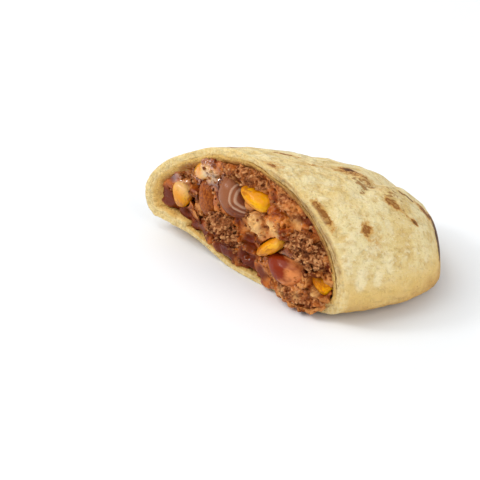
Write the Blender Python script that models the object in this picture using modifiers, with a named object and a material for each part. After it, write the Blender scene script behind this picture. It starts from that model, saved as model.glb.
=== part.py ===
"""Half of a chimichanga, cut on a slant and resting on its flat underside.

Metres, +Z up. X runs along the roll, from the cut towards the folded end, and +Y is its thin side.
A point on the cut is given as (across, out, up): across runs along the cut towards the thin side,
out points away from the roll, and up is +Z. The origin ends up under the middle of the bounding box.
"""

import math
import random

import bmesh
import bpy
from mathutils import Matrix, Vector, noise

# The roll: an uneven oval, thicker on its -Y side, that narrows and drops towards the folded end.
HALF_LENGTH = 0.0583
HALF_WIDTH = 0.0355
HEIGHT = 0.0412
WIDEST_LEVEL = 0.0125
SIDE_THINNING = 0.19
END_NARROWING = 0.045
END_DROP = 0.34
END_LEVEL = 0.0030
END_PLAN_POWER = 3.0
END_SIDE_POWER = 3.6
TOP_POWER = 1.95
BOTTOM_POWER = 3.0
SETTLE = 0.0009

# Where the underside lifts off the table: from how far to how far along Y it rises, and along X it fades out.
LIFT = 0.0042
LIFT_SIDE = (0.005, 0.021)
LIFT_END = (0.010, 0.045)

# The knife's cut, seen from above.
CUT_SLANT = math.radians(37.5)
CUT_WAVE = 0.0007
CUT_WAVE_SIZE = 0.011
BODY_FRONT = -0.040

# The cutters: how far they reach past the roll, and the knife's block.
CUTTER_FRONT = -0.044
CUTTER_MARGIN = 0.004
CUT_REACH = 0.060
KNIFE_HALF_WIDTH = 0.065
KNIFE_MIDDLE = 0.022
KNIFE_HALF_HEIGHT = 0.036

# The tortilla: one sheet wound nearly twice round, with both of its edges underneath.
SHEET = 0.00205
LAYER_SLIT = 0.00045
SLIT_DEPTH = 0.012
STUCK_EDGE = math.radians(20)
INNER_EDGE = math.radians(300)
OUTER_EDGE = math.radians(236)
EDGE_RAMP = math.radians(16)
FOLDED_END = 0.0085
CLEARANCE = 0.00035

# Hollows and swellings of the wrap: small ones at random, none near the table, and three large ones at
# (x, y), with their size and how far they stand out. Then the crease where its end was tucked in.
SWELL = 0.0006
SWELL_SIZE = 0.020
SWELL_PLACE = Vector((3.1, 0.4, 7.7))
SWELL_LEVELS = (0.004, 0.014)
LUMPS = (
    (Vector((-0.010, 0.006)), 0.014, 0.0015),
    (Vector((0.022, 0.004)), 0.013, -0.0010),
    (Vector((0.051, 0.004)), 0.011, -0.0017),
)
CREASE_DEPTH = 0.0015
CREASE_WIDTH = 0.0024
CREASE_START = Vector((0.031, -0.019))
CREASE_END = Vector((0.050, 0.016))

# The face of the filling: how far it lies behind the cut, how it sinks towards the thin side, and how it spills
# over low on the thick side. Each pair says where that starts and where it is whole.
FACE_DEPTH = 0.0014
FACE_SINK = 0.0022
SINK_ACROSS = (0.004, 0.032)
FACE_SPILL = 0.0026
SPILL_ACROSS = (-0.006, -0.022)
SPILL_LEVELS = (0.017, 0.007)

# Crumbs of minced beef that show on the cut.
CRUMB_COUNT = 30
CRUMB_TRIES = 4000
CRUMB_RADII = (0.0019, 0.0036)
CRUMB_SPACING = 0.74
CRUMB_ROUGHNESS = 0.34
CRUMB_ROOM = 0.55
CRUMB_FIELD = ((-0.044, 0.044), (0.001, 0.042))
CRUMB_STRETCH = ((0.85, 1.3), (0.8, 1.0), (0.8, 1.1))
CRUMB_SITS = (-0.15, 0.4)
NOISE_FIELD = 90
SEED = 11

ACROSS = Vector((-math.sin(CUT_SLANT), math.cos(CUT_SLANT), 0))
OUT = Vector((-math.cos(CUT_SLANT), -math.sin(CUT_SLANT), 0))
UP = Vector((0, 0, 1))

# Pieces that show on the cut: (across, out, up) of the centre, the way the long axis points, for corn and beans
# the way the thin axis points, and then the length, width and thickness, or for meat the three radii.
# All sizes here are in millimetres. Where two would meet, the later one gives way.
KERNELS = (
    ((28.6, -1.4, 15.8), (-0.23, -0.10, 1.0), (0.0, 1.0, 0.25), (8.8, 9.2, 5.8)),
    ((-7.6, 0.2, 29.0), (-0.98, -0.05, -0.18), (-0.15, 0.40, 0.92), (13.0, 8.2, 5.8)),
    ((-13.4, 0.4, 15.3), (-0.80, -0.08, 0.60), (0.6, 0.35, 0.80), (14.0, 7.4, 5.0)),
    ((-34.0, -0.6, 11.2), (-0.95, 0.0, -0.30), (0.1, 0.8, 0.6), (8.4, 6.4, 4.6)),
    ((18.4, -1.6, 27.8), (-0.85, 0.0, 0.52), (-0.1, 0.8, 0.5), (9.0, 7.2, 5.0)),
)
BEANS = (
    ((2.2, -0.8, 25.4), (-0.72, 0.05, -0.70), (-0.2, 0.9, 0.2), (13.6, 8.8, 7.8)),
    ((-20.8, -0.1, 11.6), (-0.99, -0.05, -0.06), (0.0, 0.85, 0.5), (15.6, 7.9, 7.4)),
    ((16.6, -2.2, 19.2), (0.10, -0.05, 1.0), (0.1, 1.0, 0.1), (13.0, 8.2, 7.2)),
)
CHUNKS = (
    ((8.0, -1.0, 12.4), (-1.0, 0.0, -0.20), (8.8, 4.0, 5.4)),
    ((-27.8, -0.7, 19.8), (-1.0, 0.0, -0.40), (8.0, 4.2, 5.0)),
    ((-17.4, -0.4, 24.4), (-0.8, 0.0, -0.60), (6.4, 3.8, 4.8)),
    ((-27.0, 1.2, 5.6), (-1.0, 0.0, 0.05), (9.4, 3.6, 3.2)),
    ((12.6, -1.6, 31.4), (1.0, 0.0, -0.45), (6.0, 3.4, 3.4)),
    ((-4.2, -1.4, 34.0), (-1.0, 0.0, -0.05), (7.2, 3.0, 2.8)),
    ((-8.2, -0.4, 20.8), (-0.9, 0.0, -0.40), (4.2, 3.4, 3.4)),
    ((-20.2, -1.0, 31.2), (-1.0, 0.0, -0.45), (4.8, 3.0, 2.8)),
)
KERNEL_NECK = 0.30
NECK_BEGINS = 0.62
CROWN_TAPER = 0.10
CROWN_RUN = (0.2, 0.5)
BEAN_BEND = 0.0014
BEAN_FULLNESS = 0.10
CHUNK_ROUGHNESS = 0.24
LUMP_SIZE = 1 / 1.5

# Facets: (round the roll, along it) of each body wound from sections, and (round, along) of each small ball.
SHEET_FACETS = (56, 20)
HOLLOW_FACETS = (42, 9)
FILLING_FACETS = (34, 8)
CLEARANCE_FACETS = (32, 8)
SLIT_FACETS = (40, 3)
KNIFE_FACETS = (22, 12)
KERNEL_FACETS = (12, 8)
BEAN_FACETS = (14, 9)
CHUNK_FACETS = (13, 9)
CRUMB_FACETS = (7, 5)
SMOOTH_ANGLE = math.radians(40)
MERGE_DISTANCE = 1e-6

MM = 0.001


def signed_power(value, exponent):
    return math.copysign(abs(value) ** exponent, value)


def smooth_step(value):
    value = min(max(value, 0.0), 1.0)
    return value * value * (3 - 2 * value)


def between(value, limits):
    """0 at the first of two limits, 1 at the second, and smooth in between."""
    return smooth_step((value - limits[0]) / (limits[1] - limits[0]))


def closing(run, power):
    """How much of a section is left where run, from 0 to 1, nears the folded end."""
    return (1 - min(max(run, 0.0), 1.0) ** power) ** (1 / power)


def underside(x, y):
    """The level that the outside of the roll comes down to."""
    return LIFT * between(y, LIFT_SIDE) * (1 - between(x, LIFT_END))


def section_point(x, angle, inset, length):
    """A point of the roll's section at x, moved in by inset from its outside. The body closes at length."""
    along = min(max(x / HALF_LENGTH, 0.0), 1.0)
    run = x / length
    side, rise = math.cos(angle), math.sin(angle)
    side = signed_power(side, 2 / (TOP_POWER if rise >= 0 else BOTTOM_POWER))
    width = (HALF_WIDTH * (1 - END_NARROWING * along**2) - inset) * closing(run, END_PLAN_POWER)
    top = HEIGHT * (1 - SIDE_THINNING * side) - WIDEST_LEVEL - inset
    bottom = WIDEST_LEVEL - inset
    if rise >= 0:
        z = WIDEST_LEVEL + top * rise ** (2 / TOP_POWER)
    else:
        z = WIDEST_LEVEL - bottom * (-rise) ** (2 / BOTTOM_POWER)
    low = END_LEVEL + inset
    z = low + (z - low) * (1 - END_DROP * along**1.5) * closing(run, END_SIDE_POWER)
    y = width * side
    return Vector((x, y, max(z - SETTLE, underside(x, y) + inset)))


def outer_inset(angle):
    """The sheet's outer edge steps in under the roll, and the turn below it comes back out."""
    past = (angle - OUTER_EDGE) / EDGE_RAMP
    return SHEET * (1 - smooth_step(past)) if past >= 0 else 0.0


def inner_inset(angle):
    """The wall is two sheets thick, and one between the sheet's two edges."""
    return SHEET + (outer_inset(angle) if OUTER_EDGE <= angle < INNER_EDGE else SHEET)


def swelling(point):
    """How far the wrap stands out or in at a point of its outside."""
    lump = SWELL * noise.fractal(point / SWELL_SIZE + SWELL_PLACE, 1.0, 2.0, 2)
    flat = Vector((point.x, point.y))
    for place, size, rise in LUMPS:
        lump += rise * math.exp(-((flat - place).length / size) ** 2) * between(point.z, (WIDEST_LEVEL, HEIGHT))
    way = CREASE_END - CREASE_START
    share = min(max((flat - CREASE_START).dot(way) / way.length_squared, 0.0), 1.0)
    away = (flat - CREASE_START - way * share).length / CREASE_WIDTH
    crease = CREASE_DEPTH * math.exp(-away * away) * smooth_step(share * 3 + 0.2)
    return (lump - crease) * between(point.z, SWELL_LEVELS)


def mesh_object(name, bm, collection, smooth=True):
    bmesh.ops.recalc_face_normals(bm, faces=bm.faces)
    bmesh.ops.triangulate(bm, faces=bm.faces)
    mesh = bpy.data.meshes.new(name)
    bm.to_mesh(mesh)
    bm.free()
    if smooth:
        mesh.shade_smooth()
        mesh.set_sharp_from_angle(angle=SMOOTH_ANGLE)
    obj = bpy.data.objects.new(name, mesh)
    collection.objects.link(obj)
    return obj


def roll_body(name, collection, facets, inset_at, length, front=CUTTER_FRONT, lumps=False):
    """A closed body of the roll's form: a grid wrapped round it, with its front filled in."""
    around, rows = facets
    stations = roll_stations(length, rows, front)
    bm = bmesh.new()
    bmesh.ops.create_grid(bm, x_segments=around, y_segments=rows, size=0.5)
    for vertex in bm.verts:
        angle = math.tau * (vertex.co.x + 0.5)
        x = stations[round((vertex.co.y + 0.5) * rows)]
        point = section_point(x, angle, inset_at(angle), length)
        if lumps:
            middle = Vector((x, 0, WIDEST_LEVEL))
            point += (point - middle).normalized() * swelling(point)
        vertex.co = point
    bmesh.ops.remove_doubles(bm, verts=bm.verts, dist=MERGE_DISTANCE)
    bmesh.ops.holes_fill(bm, edges=[edge for edge in bm.edges if edge.is_boundary])
    return mesh_object(name, bm, collection)


def roll_stations(length, rows, front):
    """Places along the roll, closer together where the end rounds off."""
    return [front + (length - front) * math.sin(math.pi / 2 * row / rows) ** 0.9 for row in range(rows + 1)]


def on_cut(across, out, up):
    return ACROSS * across + OUT * out + UP * up


def knife(name, collection, depth_at):
    """A block in front of the cut. Its inner face lies depth_at(across, up) out from the cut's plane."""
    bm = bmesh.new()
    bmesh.ops.create_grid(bm, x_segments=KNIFE_FACETS[0], y_segments=KNIFE_FACETS[1], size=1.0)
    for vertex in bm.verts:
        across, up = vertex.co.x * KNIFE_HALF_WIDTH, KNIFE_MIDDLE + vertex.co.y * KNIFE_HALF_HEIGHT
        vertex.co = on_cut(across, depth_at(across, up), up)
    outer = bmesh.ops.extrude_face_region(bm, geom=bm.faces[:])["geom"]
    moved = [item for item in outer if isinstance(item, bmesh.types.BMVert)]
    bmesh.ops.translate(bm, verts=moved, vec=OUT * CUT_REACH)
    return mesh_object(name, bm, collection, smooth=False)


def cut_wave(across, up):
    return CUT_WAVE * noise.noise(Vector((across, up, 0)) / CUT_WAVE_SIZE + SWELL_PLACE)


def filling_front(across, up):
    """How far the filling stands out: sunk on the thin side, spilling over low on the thick side."""
    spill = FACE_SPILL * between(across, SPILL_ACROSS) * between(up, SPILL_LEVELS)
    return spill - FACE_SINK * between(across, SINK_ACROSS) - FACE_DEPTH


def slit(name, collection):
    """The gap between the two turns of the sheet, as a thin curved plate."""
    start, end = INNER_EDGE + STUCK_EDGE, OUTER_EDGE + math.tau - STUCK_EDGE
    bm = bmesh.new()
    bmesh.ops.create_grid(bm, x_segments=SLIT_FACETS[0], y_segments=SLIT_FACETS[1], size=0.5)
    for vertex in bm.verts:
        angle = start + (end - start) * (vertex.co.x + 0.5)
        x = CUTTER_FRONT + (SLIT_DEPTH - CUTTER_FRONT) * (vertex.co.y + 0.5)
        vertex.co = section_point(x, angle, SHEET, HALF_LENGTH)
    obj = mesh_object(name, bm, collection, smooth=False)
    thicken = obj.modifiers.new("thickness", "SOLIDIFY")
    thicken.thickness = LAYER_SLIT
    thicken.offset = 0
    return obj


def boolean(obj, other, operation):
    modifier = obj.modifiers.new(operation.lower(), "BOOLEAN")
    modifier.operation = operation
    modifier.solver = "MANIFOLD"
    if isinstance(other, bpy.types.Collection):
        modifier.operand_type = "COLLECTION"
        modifier.collection = other
    else:
        modifier.object = other


def apply_modifiers(obj):
    """Replaces the object's mesh by its evaluated one and keeps its largest body."""
    graph = bpy.context.evaluated_depsgraph_get()
    made = bpy.data.meshes.new_from_object(obj.evaluated_get(graph))
    obj.modifiers.clear()
    bm = bmesh.new()
    bm.from_mesh(made)
    drop_scraps(bm)
    bmesh.ops.triangulate(bm, faces=bm.faces)
    bm.to_mesh(made)
    bm.free()
    obj.data = made


def drop_scraps(bm):
    left, bodies = set(bm.verts), []
    while left:
        body, ahead = set(), [left.pop()]
        while ahead:
            vertex = ahead.pop()
            body.add(vertex)
            near = {edge.other_vert(vertex) for edge in vertex.link_edges} & left
            left -= near
            ahead.extend(near)
        bodies.append(body)
    bodies.sort(key=len)
    for body in bodies[:-1]:
        bmesh.ops.delete(bm, geom=list(body), context="VERTS")


def frame_at(centre, long_axis, thin_axis):
    """The matrix of a piece on the cut, from its centre in millimetres and the ways its axes point."""
    along = on_cut(*long_axis).normalized()
    thin = on_cut(*thin_axis)
    thin = (thin - along * thin.dot(along)).normalized()
    turned = Matrix((along, thin.cross(along), thin)).transposed()
    return Matrix.Translation(on_cut(*centre) * MM) @ turned.to_4x4()


def small_ball(facets, radius):
    """A ball whose poles lie on X."""
    bm = bmesh.new()
    bmesh.ops.create_uvsphere(bm, u_segments=facets[0], v_segments=facets[1], radius=radius)
    bmesh.ops.rotate(bm, verts=bm.verts, matrix=Matrix.Rotation(math.pi / 2, 3, "Y"))
    return bm


def kernel_mesh(size, grow):
    """A grain of sweetcorn: a flattened drop with a blunt crown and a narrower foot."""
    bm = small_ball(KERNEL_FACETS, 0.5)
    size = Vector(size) * MM + Vector((grow, grow, grow)) * 2
    for vertex in bm.verts:
        neck = 1 - KERNEL_NECK * smooth_step(NECK_BEGINS - vertex.co.x)
        crown = 1 - CROWN_TAPER * between(vertex.co.x, CROWN_RUN)
        vertex.co = Vector((vertex.co.x * size.x * crown, vertex.co.y * size.y * neck, vertex.co.z * size.z * neck))
    return bm


def bean_mesh(size, grow):
    """A pinto bean: a stretched ball with a gentle bend."""
    bm = small_ball(BEAN_FACETS, 0.5)
    size = Vector(size) * MM + Vector((grow, grow, grow)) * 2
    for vertex in bm.verts:
        bend = BEAN_BEND * (1 - (2 * vertex.co.x) ** 2)
        fullness = 1 + BEAN_FULLNESS * math.cos(math.pi * vertex.co.x)
        vertex.co = Vector((
            vertex.co.x * size.x, vertex.co.y * size.y * fullness - bend, vertex.co.z * size.z * fullness
        ))
    return bm


def crag_mesh(radii, roughness, where, facets, grow=0.0):
    """A lump of minced beef: a ball pushed in and out by noise."""
    bm = small_ball(facets, 1.0)
    for vertex in bm.verts:
        way = vertex.co.normalized()
        rough = 1 + roughness * noise.fractal(way / LUMP_SIZE + where, 1.0, 2.0, 2)
        vertex.co = Vector((way.x * radii[0], way.y * radii[1], way.z * radii[2])) * rough + way * grow
    return bm


def pieces_on_cut(collection, prefix="", grow=0.0):
    """The corn, beans and larger lumps of meat. With grow, the same pieces a little fatter, to cut their seats."""
    made = []
    for name, places, shape in (("corn_kernel", KERNELS, kernel_mesh), ("bean", BEANS, bean_mesh)):
        for number, (centre, long_axis, thin_axis, size) in enumerate(places, 1):
            obj = mesh_object(f"{prefix}{name}_{number}", shape(size, grow), collection)
            obj.matrix_world = frame_at(centre, long_axis, thin_axis)
            made.append(obj)
    for number, (centre, long_axis, radii) in enumerate(CHUNKS, 1):
        bm = crag_mesh([radius * MM for radius in radii], CHUNK_ROUGHNESS, SWELL_PLACE * number, CHUNK_FACETS, grow)
        obj = mesh_object(f"{prefix}meat_chunk_{number}", bm, collection)
        obj.matrix_world = frame_at(centre, long_axis, (0, 0, 1))
        made.append(obj)
    return made


def give_way(pieces, seats, wall):
    """Cuts each piece where an earlier one or the wrap is in its way."""
    bpy.context.view_layer.update()
    for number, piece in enumerate(pieces):
        reach = max(piece.dimensions)
        for seat in seats[:number]:
            apart = (seat.matrix_world.translation - piece.matrix_world.translation).length
            if apart < (reach + max(seat.dimensions)) / 2:
                boolean(piece, seat, "DIFFERENCE")
        boolean(piece, wall, "DIFFERENCE")
        apply_modifiers(piece)


def room_inside(across, up):
    """About how far a point of the cut lies inside the filling's outline."""
    side = across * math.cos(CUT_SLANT) / (HALF_WIDTH - 2 * SHEET)
    if abs(side) >= 1:
        return -1.0
    if up >= WIDEST_LEVEL:
        tall = HEIGHT * (1 - SIDE_THINNING * side) - WIDEST_LEVEL - 2 * SHEET
        share = abs(side) ** TOP_POWER + ((up - WIDEST_LEVEL) / tall) ** TOP_POWER
    else:
        tall = WIDEST_LEVEL - SHEET
        share = abs(side) ** BOTTOM_POWER + ((WIDEST_LEVEL - up) / tall) ** BOTTOM_POWER
    return (1 - share) * tall / 2


def taken_places():
    """Discs of the cut that the larger pieces cover: (across, up, radius)."""
    taken = []
    for centre, long_axis, _, (length, width, _) in KERNELS + BEANS:
        way = Vector((long_axis[0], long_axis[2])).normalized() * length / 4
        middle = Vector((centre[0], centre[2]))
        taken += [(*(MM * (middle + side * way)), MM * width / 2) for side in (-1, 1)]
    return taken + [(c[0] * MM, c[2] * MM, (radii[0] + radii[2]) / 2 * MM) for c, _, radii in CHUNKS]


def scatter_crumbs(collection):
    """Small crumbs of beef over the rest of the cut, at random, with the largest placed first."""
    draw = random.Random(SEED)
    placed = taken_places()
    full = len(placed) + CRUMB_COUNT
    smallest, largest = CRUMB_RADII
    for attempt in range(CRUMB_TRIES):
        if len(placed) == full:
            break
        radius = largest - (largest - smallest) * attempt / CRUMB_TRIES
        across, up = (draw.uniform(*field) for field in CRUMB_FIELD)
        if room_inside(across, up) < radius * CRUMB_ROOM:
            continue
        if any(math.hypot(across - a, up - u) < (radius + r) * CRUMB_SPACING for a, u, r in placed):
            continue
        placed.append((across, up, radius))
        radii = [radius * draw.uniform(*stretch) for stretch in CRUMB_STRETCH]
        where = Vector([draw.uniform(0, NOISE_FIELD) for _ in range(3)])
        obj = mesh_object(f"crumb_{len(placed)}", crag_mesh(radii, CRUMB_ROUGHNESS, where, CRUMB_FACETS), collection)
        turn = Matrix.Rotation(draw.uniform(0, math.tau), 4, "Z") @ Matrix.Rotation(draw.uniform(0, math.tau), 4, "X")
        out = filling_front(across, up) + radius * draw.uniform(*CRUMB_SITS)
        obj.matrix_world = Matrix.Translation(on_cut(across, out, up)) @ turn


def material(name, colour, roughness):
    made = bpy.data.materials.new(name)
    made.use_nodes = True
    shader = made.node_tree.nodes["Principled BSDF"]
    shader.inputs["Base Color"].default_value = (*colour, 1)
    shader.inputs["Roughness"].default_value = roughness
    shader.inputs["Metallic"].default_value = 0
    return made


def wound_tortilla(parts, cutters):
    """The sheet round the filling: the roll's outside, less its inside, the slit and what the knife took."""
    body = roll_body("tortilla", parts, SHEET_FACETS, outer_inset, HALF_LENGTH, BODY_FRONT, lumps=True)
    hollow = roll_body("hollow_cutter", cutters, HOLLOW_FACETS, inner_inset, HALF_LENGTH - FOLDED_END)
    for cutter in (hollow, slit("slit_cutter", cutters), knife("knife_cutter", cutters, cut_wave)):
        boolean(body, cutter, "DIFFERENCE")
    apply_modifiers(body)
    return body


def wall_clearance(cutters):
    """The wall of the wrap a little fatter all round, as a cutter for the filling."""
    wall = roll_body(
        "clearance_cutter", cutters, CLEARANCE_FACETS, lambda angle: -CUTTER_MARGIN, HALF_LENGTH + CUTTER_MARGIN,
        BODY_FRONT,
    )
    hollow = roll_body(
        "clear_hollow_cutter", cutters, HOLLOW_FACETS, lambda angle: inner_inset(angle) + CLEARANCE,
        HALF_LENGTH - FOLDED_END - CLEARANCE,
    )
    boolean(wall, hollow, "DIFFERENCE")
    plane = knife("clear_knife_cutter", cutters, lambda across, up: cut_wave(across, up) + CLEARANCE)
    boolean(wall, plane, "DIFFERENCE")
    apply_modifiers(wall)
    return wall


def craggy_filling(parts, cutters, crumbs, seats, wall):
    """Beef, beans and sauce: a core that fills the wrap, crumbs fused on its face, and seats for the pieces."""
    core = roll_body(
        "filling", parts, FILLING_FACETS, lambda angle: inner_inset(angle) + 2 * CLEARANCE,
        HALF_LENGTH - FOLDED_END - 2 * CLEARANCE,
    )
    boolean(core, knife("filling_knife_cutter", cutters, filling_front), "DIFFERENCE")
    scatter_crumbs(crumbs)
    boolean(core, crumbs, "UNION")
    boolean(core, wall, "DIFFERENCE")
    boolean(core, seats, "DIFFERENCE")
    apply_modifiers(core)
    return core


def clear_scene():
    for obj in list(bpy.data.objects):
        bpy.data.objects.remove(obj)


def new_collection(name):
    collection = bpy.data.collections.new(name)
    bpy.context.scene.collection.children.link(collection)
    return collection


def hide_helpers(collection):
    for obj in collection.objects:
        obj.hide_render = True
        obj.display_type = "WIRE"


def centre_over_origin(parts):
    """Hangs the parts on one empty and moves it, so that the origin is under the middle of their box."""
    bpy.context.view_layer.update()
    graph = bpy.context.evaluated_depsgraph_get()
    corners = []
    for obj in parts.objects:
        evaluated = obj.evaluated_get(graph)
        corners += [evaluated.matrix_world @ vertex.co for vertex in evaluated.data.vertices]
    low = Vector([min(corner[axis] for corner in corners) for axis in range(3)])
    high = Vector([max(corner[axis] for corner in corners) for axis in range(3)])
    stand = bpy.data.objects.new("stand", None)
    bpy.context.scene.collection.objects.link(stand)
    for obj in parts.objects:
        obj.parent = stand
    stand.location = (-(low.x + high.x) / 2, -(low.y + high.y) / 2, -low.z)


def main():
    clear_scene()
    parts, cutters, crumbs, seats = (
        new_collection(name) for name in ("chimichanga_half", "cutters", "crumbs", "seats")
    )
    dough = material("baked_dough", (0.80, 0.64, 0.39), 0.65)
    sauce = material("beef_and_sauce", (0.33, 0.10, 0.03), 0.35)
    corn = material("sweetcorn", (0.92, 0.50, 0.03), 0.25)
    bean = material("pinto_bean", (0.42, 0.15, 0.09), 0.30)
    beef = material("minced_beef", (0.24, 0.09, 0.05), 0.50)

    wound_tortilla(parts, cutters).data.materials.append(dough)
    wall = wall_clearance(cutters)
    fat_pieces = pieces_on_cut(seats, "seat_", CLEARANCE)
    craggy_filling(parts, cutters, crumbs, seats, wall).data.materials.append(sauce)
    finishes = {"corn": corn, "bean": bean, "meat": beef}
    pieces = pieces_on_cut(parts)
    give_way(pieces, fat_pieces, wall)
    for piece in pieces:
        piece.data.materials.append(finishes[piece.name.split("_")[0]])

    for helpers in (cutters, seats):
        hide_helpers(helpers)
    for crumb in list(crumbs.objects):
        bpy.data.objects.remove(crumb)
    centre_over_origin(parts)


main()
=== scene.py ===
"""The looks of half a chimichanga: a flour wrap round a wet filling of minced beef, beans and sweetcorn.

Metres, +Z up. The pieces are shaped in the roll's own frame, with X along the roll and 0 where the knife
crosses its middle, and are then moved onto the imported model. A point on the cut is (across, out, up): across
runs along the cut towards the thin side of the roll, out points away from the roll, and up is +Z.
"""

import math
import random

import bmesh
import bpy
import numpy as np
from mathutils import Matrix, Vector, noise
from mathutils.bvhtree import BVHTree
from mathutils.kdtree import KDTree


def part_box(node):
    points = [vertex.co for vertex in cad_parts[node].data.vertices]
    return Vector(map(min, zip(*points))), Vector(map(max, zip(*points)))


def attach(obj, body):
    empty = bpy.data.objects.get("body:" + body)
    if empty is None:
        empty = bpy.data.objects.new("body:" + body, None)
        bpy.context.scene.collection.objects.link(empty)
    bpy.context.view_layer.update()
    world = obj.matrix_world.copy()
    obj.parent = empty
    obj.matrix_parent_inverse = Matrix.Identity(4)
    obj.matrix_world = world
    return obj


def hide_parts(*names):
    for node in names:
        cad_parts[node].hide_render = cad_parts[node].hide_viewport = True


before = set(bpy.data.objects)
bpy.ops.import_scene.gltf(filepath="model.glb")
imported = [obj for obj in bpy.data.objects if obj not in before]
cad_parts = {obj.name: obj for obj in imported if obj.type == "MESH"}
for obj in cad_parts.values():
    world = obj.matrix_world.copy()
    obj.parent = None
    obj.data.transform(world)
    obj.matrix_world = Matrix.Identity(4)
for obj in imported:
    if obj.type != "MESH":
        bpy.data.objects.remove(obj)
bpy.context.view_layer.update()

MM = 0.001

# The roll, the sheet and the knife's cut, as in the solids.
HALF_LENGTH = 0.0583
HALF_WIDTH = 0.0355
HEIGHT = 0.0412
WIDEST_LEVEL = 0.0125
SIDE_THINNING = 0.19
END_NARROWING = 0.045
END_DROP = 0.34
END_LEVEL = 0.0030
END_PLAN_POWER = 3.0
END_SIDE_POWER = 3.6
TOP_POWER = 1.95
BOTTOM_POWER = 3.0
SETTLE = 0.0009
LIFT = 0.0042
LIFT_SIDE = (0.005, 0.021)
LIFT_END = (0.010, 0.045)
CUT_SLANT = math.radians(37.5)
CUT_WAVE = 0.0007
CUT_WAVE_SIZE = 0.011
SHEET = 0.00205
INNER_EDGE = math.radians(300)
OUTER_EDGE = math.radians(236)
EDGE_RAMP = math.radians(16)
FOLDED_END = 0.0085
HOLLOW_LENGTH = HALF_LENGTH - FOLDED_END
SWELL = 0.0006
SWELL_SIZE = 0.020
SWELL_PLACE = Vector((3.1, 0.4, 7.7))
SWELL_LEVELS = (0.004, 0.014)
LUMPS = (
    (Vector((-0.010, 0.006)), 0.014, 0.0015),
    (Vector((0.022, 0.004)), 0.013, -0.0010),
    (Vector((0.051, 0.004)), 0.011, -0.0017),
)
CREASE_DEPTH = 0.0015
CREASE_WIDTH = 0.0024
CREASE_START = Vector((0.031, -0.019))
CREASE_END = Vector((0.050, 0.016))
CREASE_FADE = (-0.2, 0.8)

# The face of the filling: how far it lies behind the cut, how it sinks towards the thin side, and how it
# spills over low on the thick side. Each pair says where that starts and where it is whole.
FACE_DEPTH = 0.0014
FACE_SINK = 0.0022
SINK_ACROSS = (0.004, 0.032)
FACE_SPILL = 0.0026
SPILL_ACROSS = (-0.006, -0.022)
SPILL_LEVELS = (0.017, 0.007)
SEED = 11
MERGE = 1e-6

ACROSS = Vector((-math.sin(CUT_SLANT), math.cos(CUT_SLANT), 0))
OUT = Vector((-math.cos(CUT_SLANT), -math.sin(CUT_SLANT), 0))
UP = Vector((0, 0, 1))

# How finely the wrap is meshed: points round it and rows along it. A share is a depth in the wall, from 0 at
# its outside to 1 at its inside.
AROUND = 340
OUTER_ROWS = 118
INNER_ROWS = 24
RIM_SHARES = (0.03, 0.08, 0.15, 0.23, 0.31, 0.38, 0.43, 0.448)
SLIT_SHARES = (0.462, 0.50, 0.538)

# The cut edge of the wrap: the gap between the turns of the sheet, torn layers, and rounded corners.
SLIT_DEPTH = 0.0030
SLIT_MIDDLE = math.radians(138)
SLIT_HALF = math.radians(16)
SLIT_FADE = math.radians(30)
HAIRLINE = 0.0001
# The slit depth at which the painted shade in it is full.
SLIT_FULL_SHADE_DEPTH = 0.0006
FLAKE = 0.00022
OUTER_ROUND = 0.00055
INNER_ROUND = 0.0009
THIN_SIDE_ROUND = 0.0014
THIN_SIDE_ANGLE = math.radians(25)
LAYER_WANDER = 0.10
LIP = 0.0012
STAIN_ANGLE = math.radians(110)
STAIN_SIZE = 0.004

# The relief that dough gets as it cooks: how high it is, and its size or, for WRINKLES, waves in a metre.
PILLOW = 0.00048
PILLOW_SIZE = 0.0065
PILLOW_PLACE = Vector((9.0, 2.0, 5.0))
WRINKLE = 0.00030
WRINKLES = Vector((70, 330, 330))
PUCKER = 0.00030
PUCKER_SIZE = 0.0026
BLISTER_RISE = 0.00022
BLISTER_SIDE = (0.55, 1.15)
RELIEF_FADE = 0.003
GOLDEN_LEVEL = 0.0215
INSIDE_RELIEF = 0.00012
INSIDE_RELIEF_SIZE = 0.003
INSIDE_STAIN_SIZE = 0.005
FAR_OFF = 9.0

# Pale blisters low on the thick side: place along the roll and angle round it, then length round and along
# it, in mm.
BLISTERS = (
    (26.7, 163, 4.6, 2.2),
    (31.3, 170, 4.0, 2.1),
    (36.4, 170, 2.6, 1.9),
    (40.2, 161, 2.8, 1.6),
    (34.2, 157, 2.0, 1.6),
    (45.5, 152, 2.6, 1.5),
    (22.6, 152, 2.4, 1.6),
    (29.0, 149, 2.2, 1.5),
)

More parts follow.
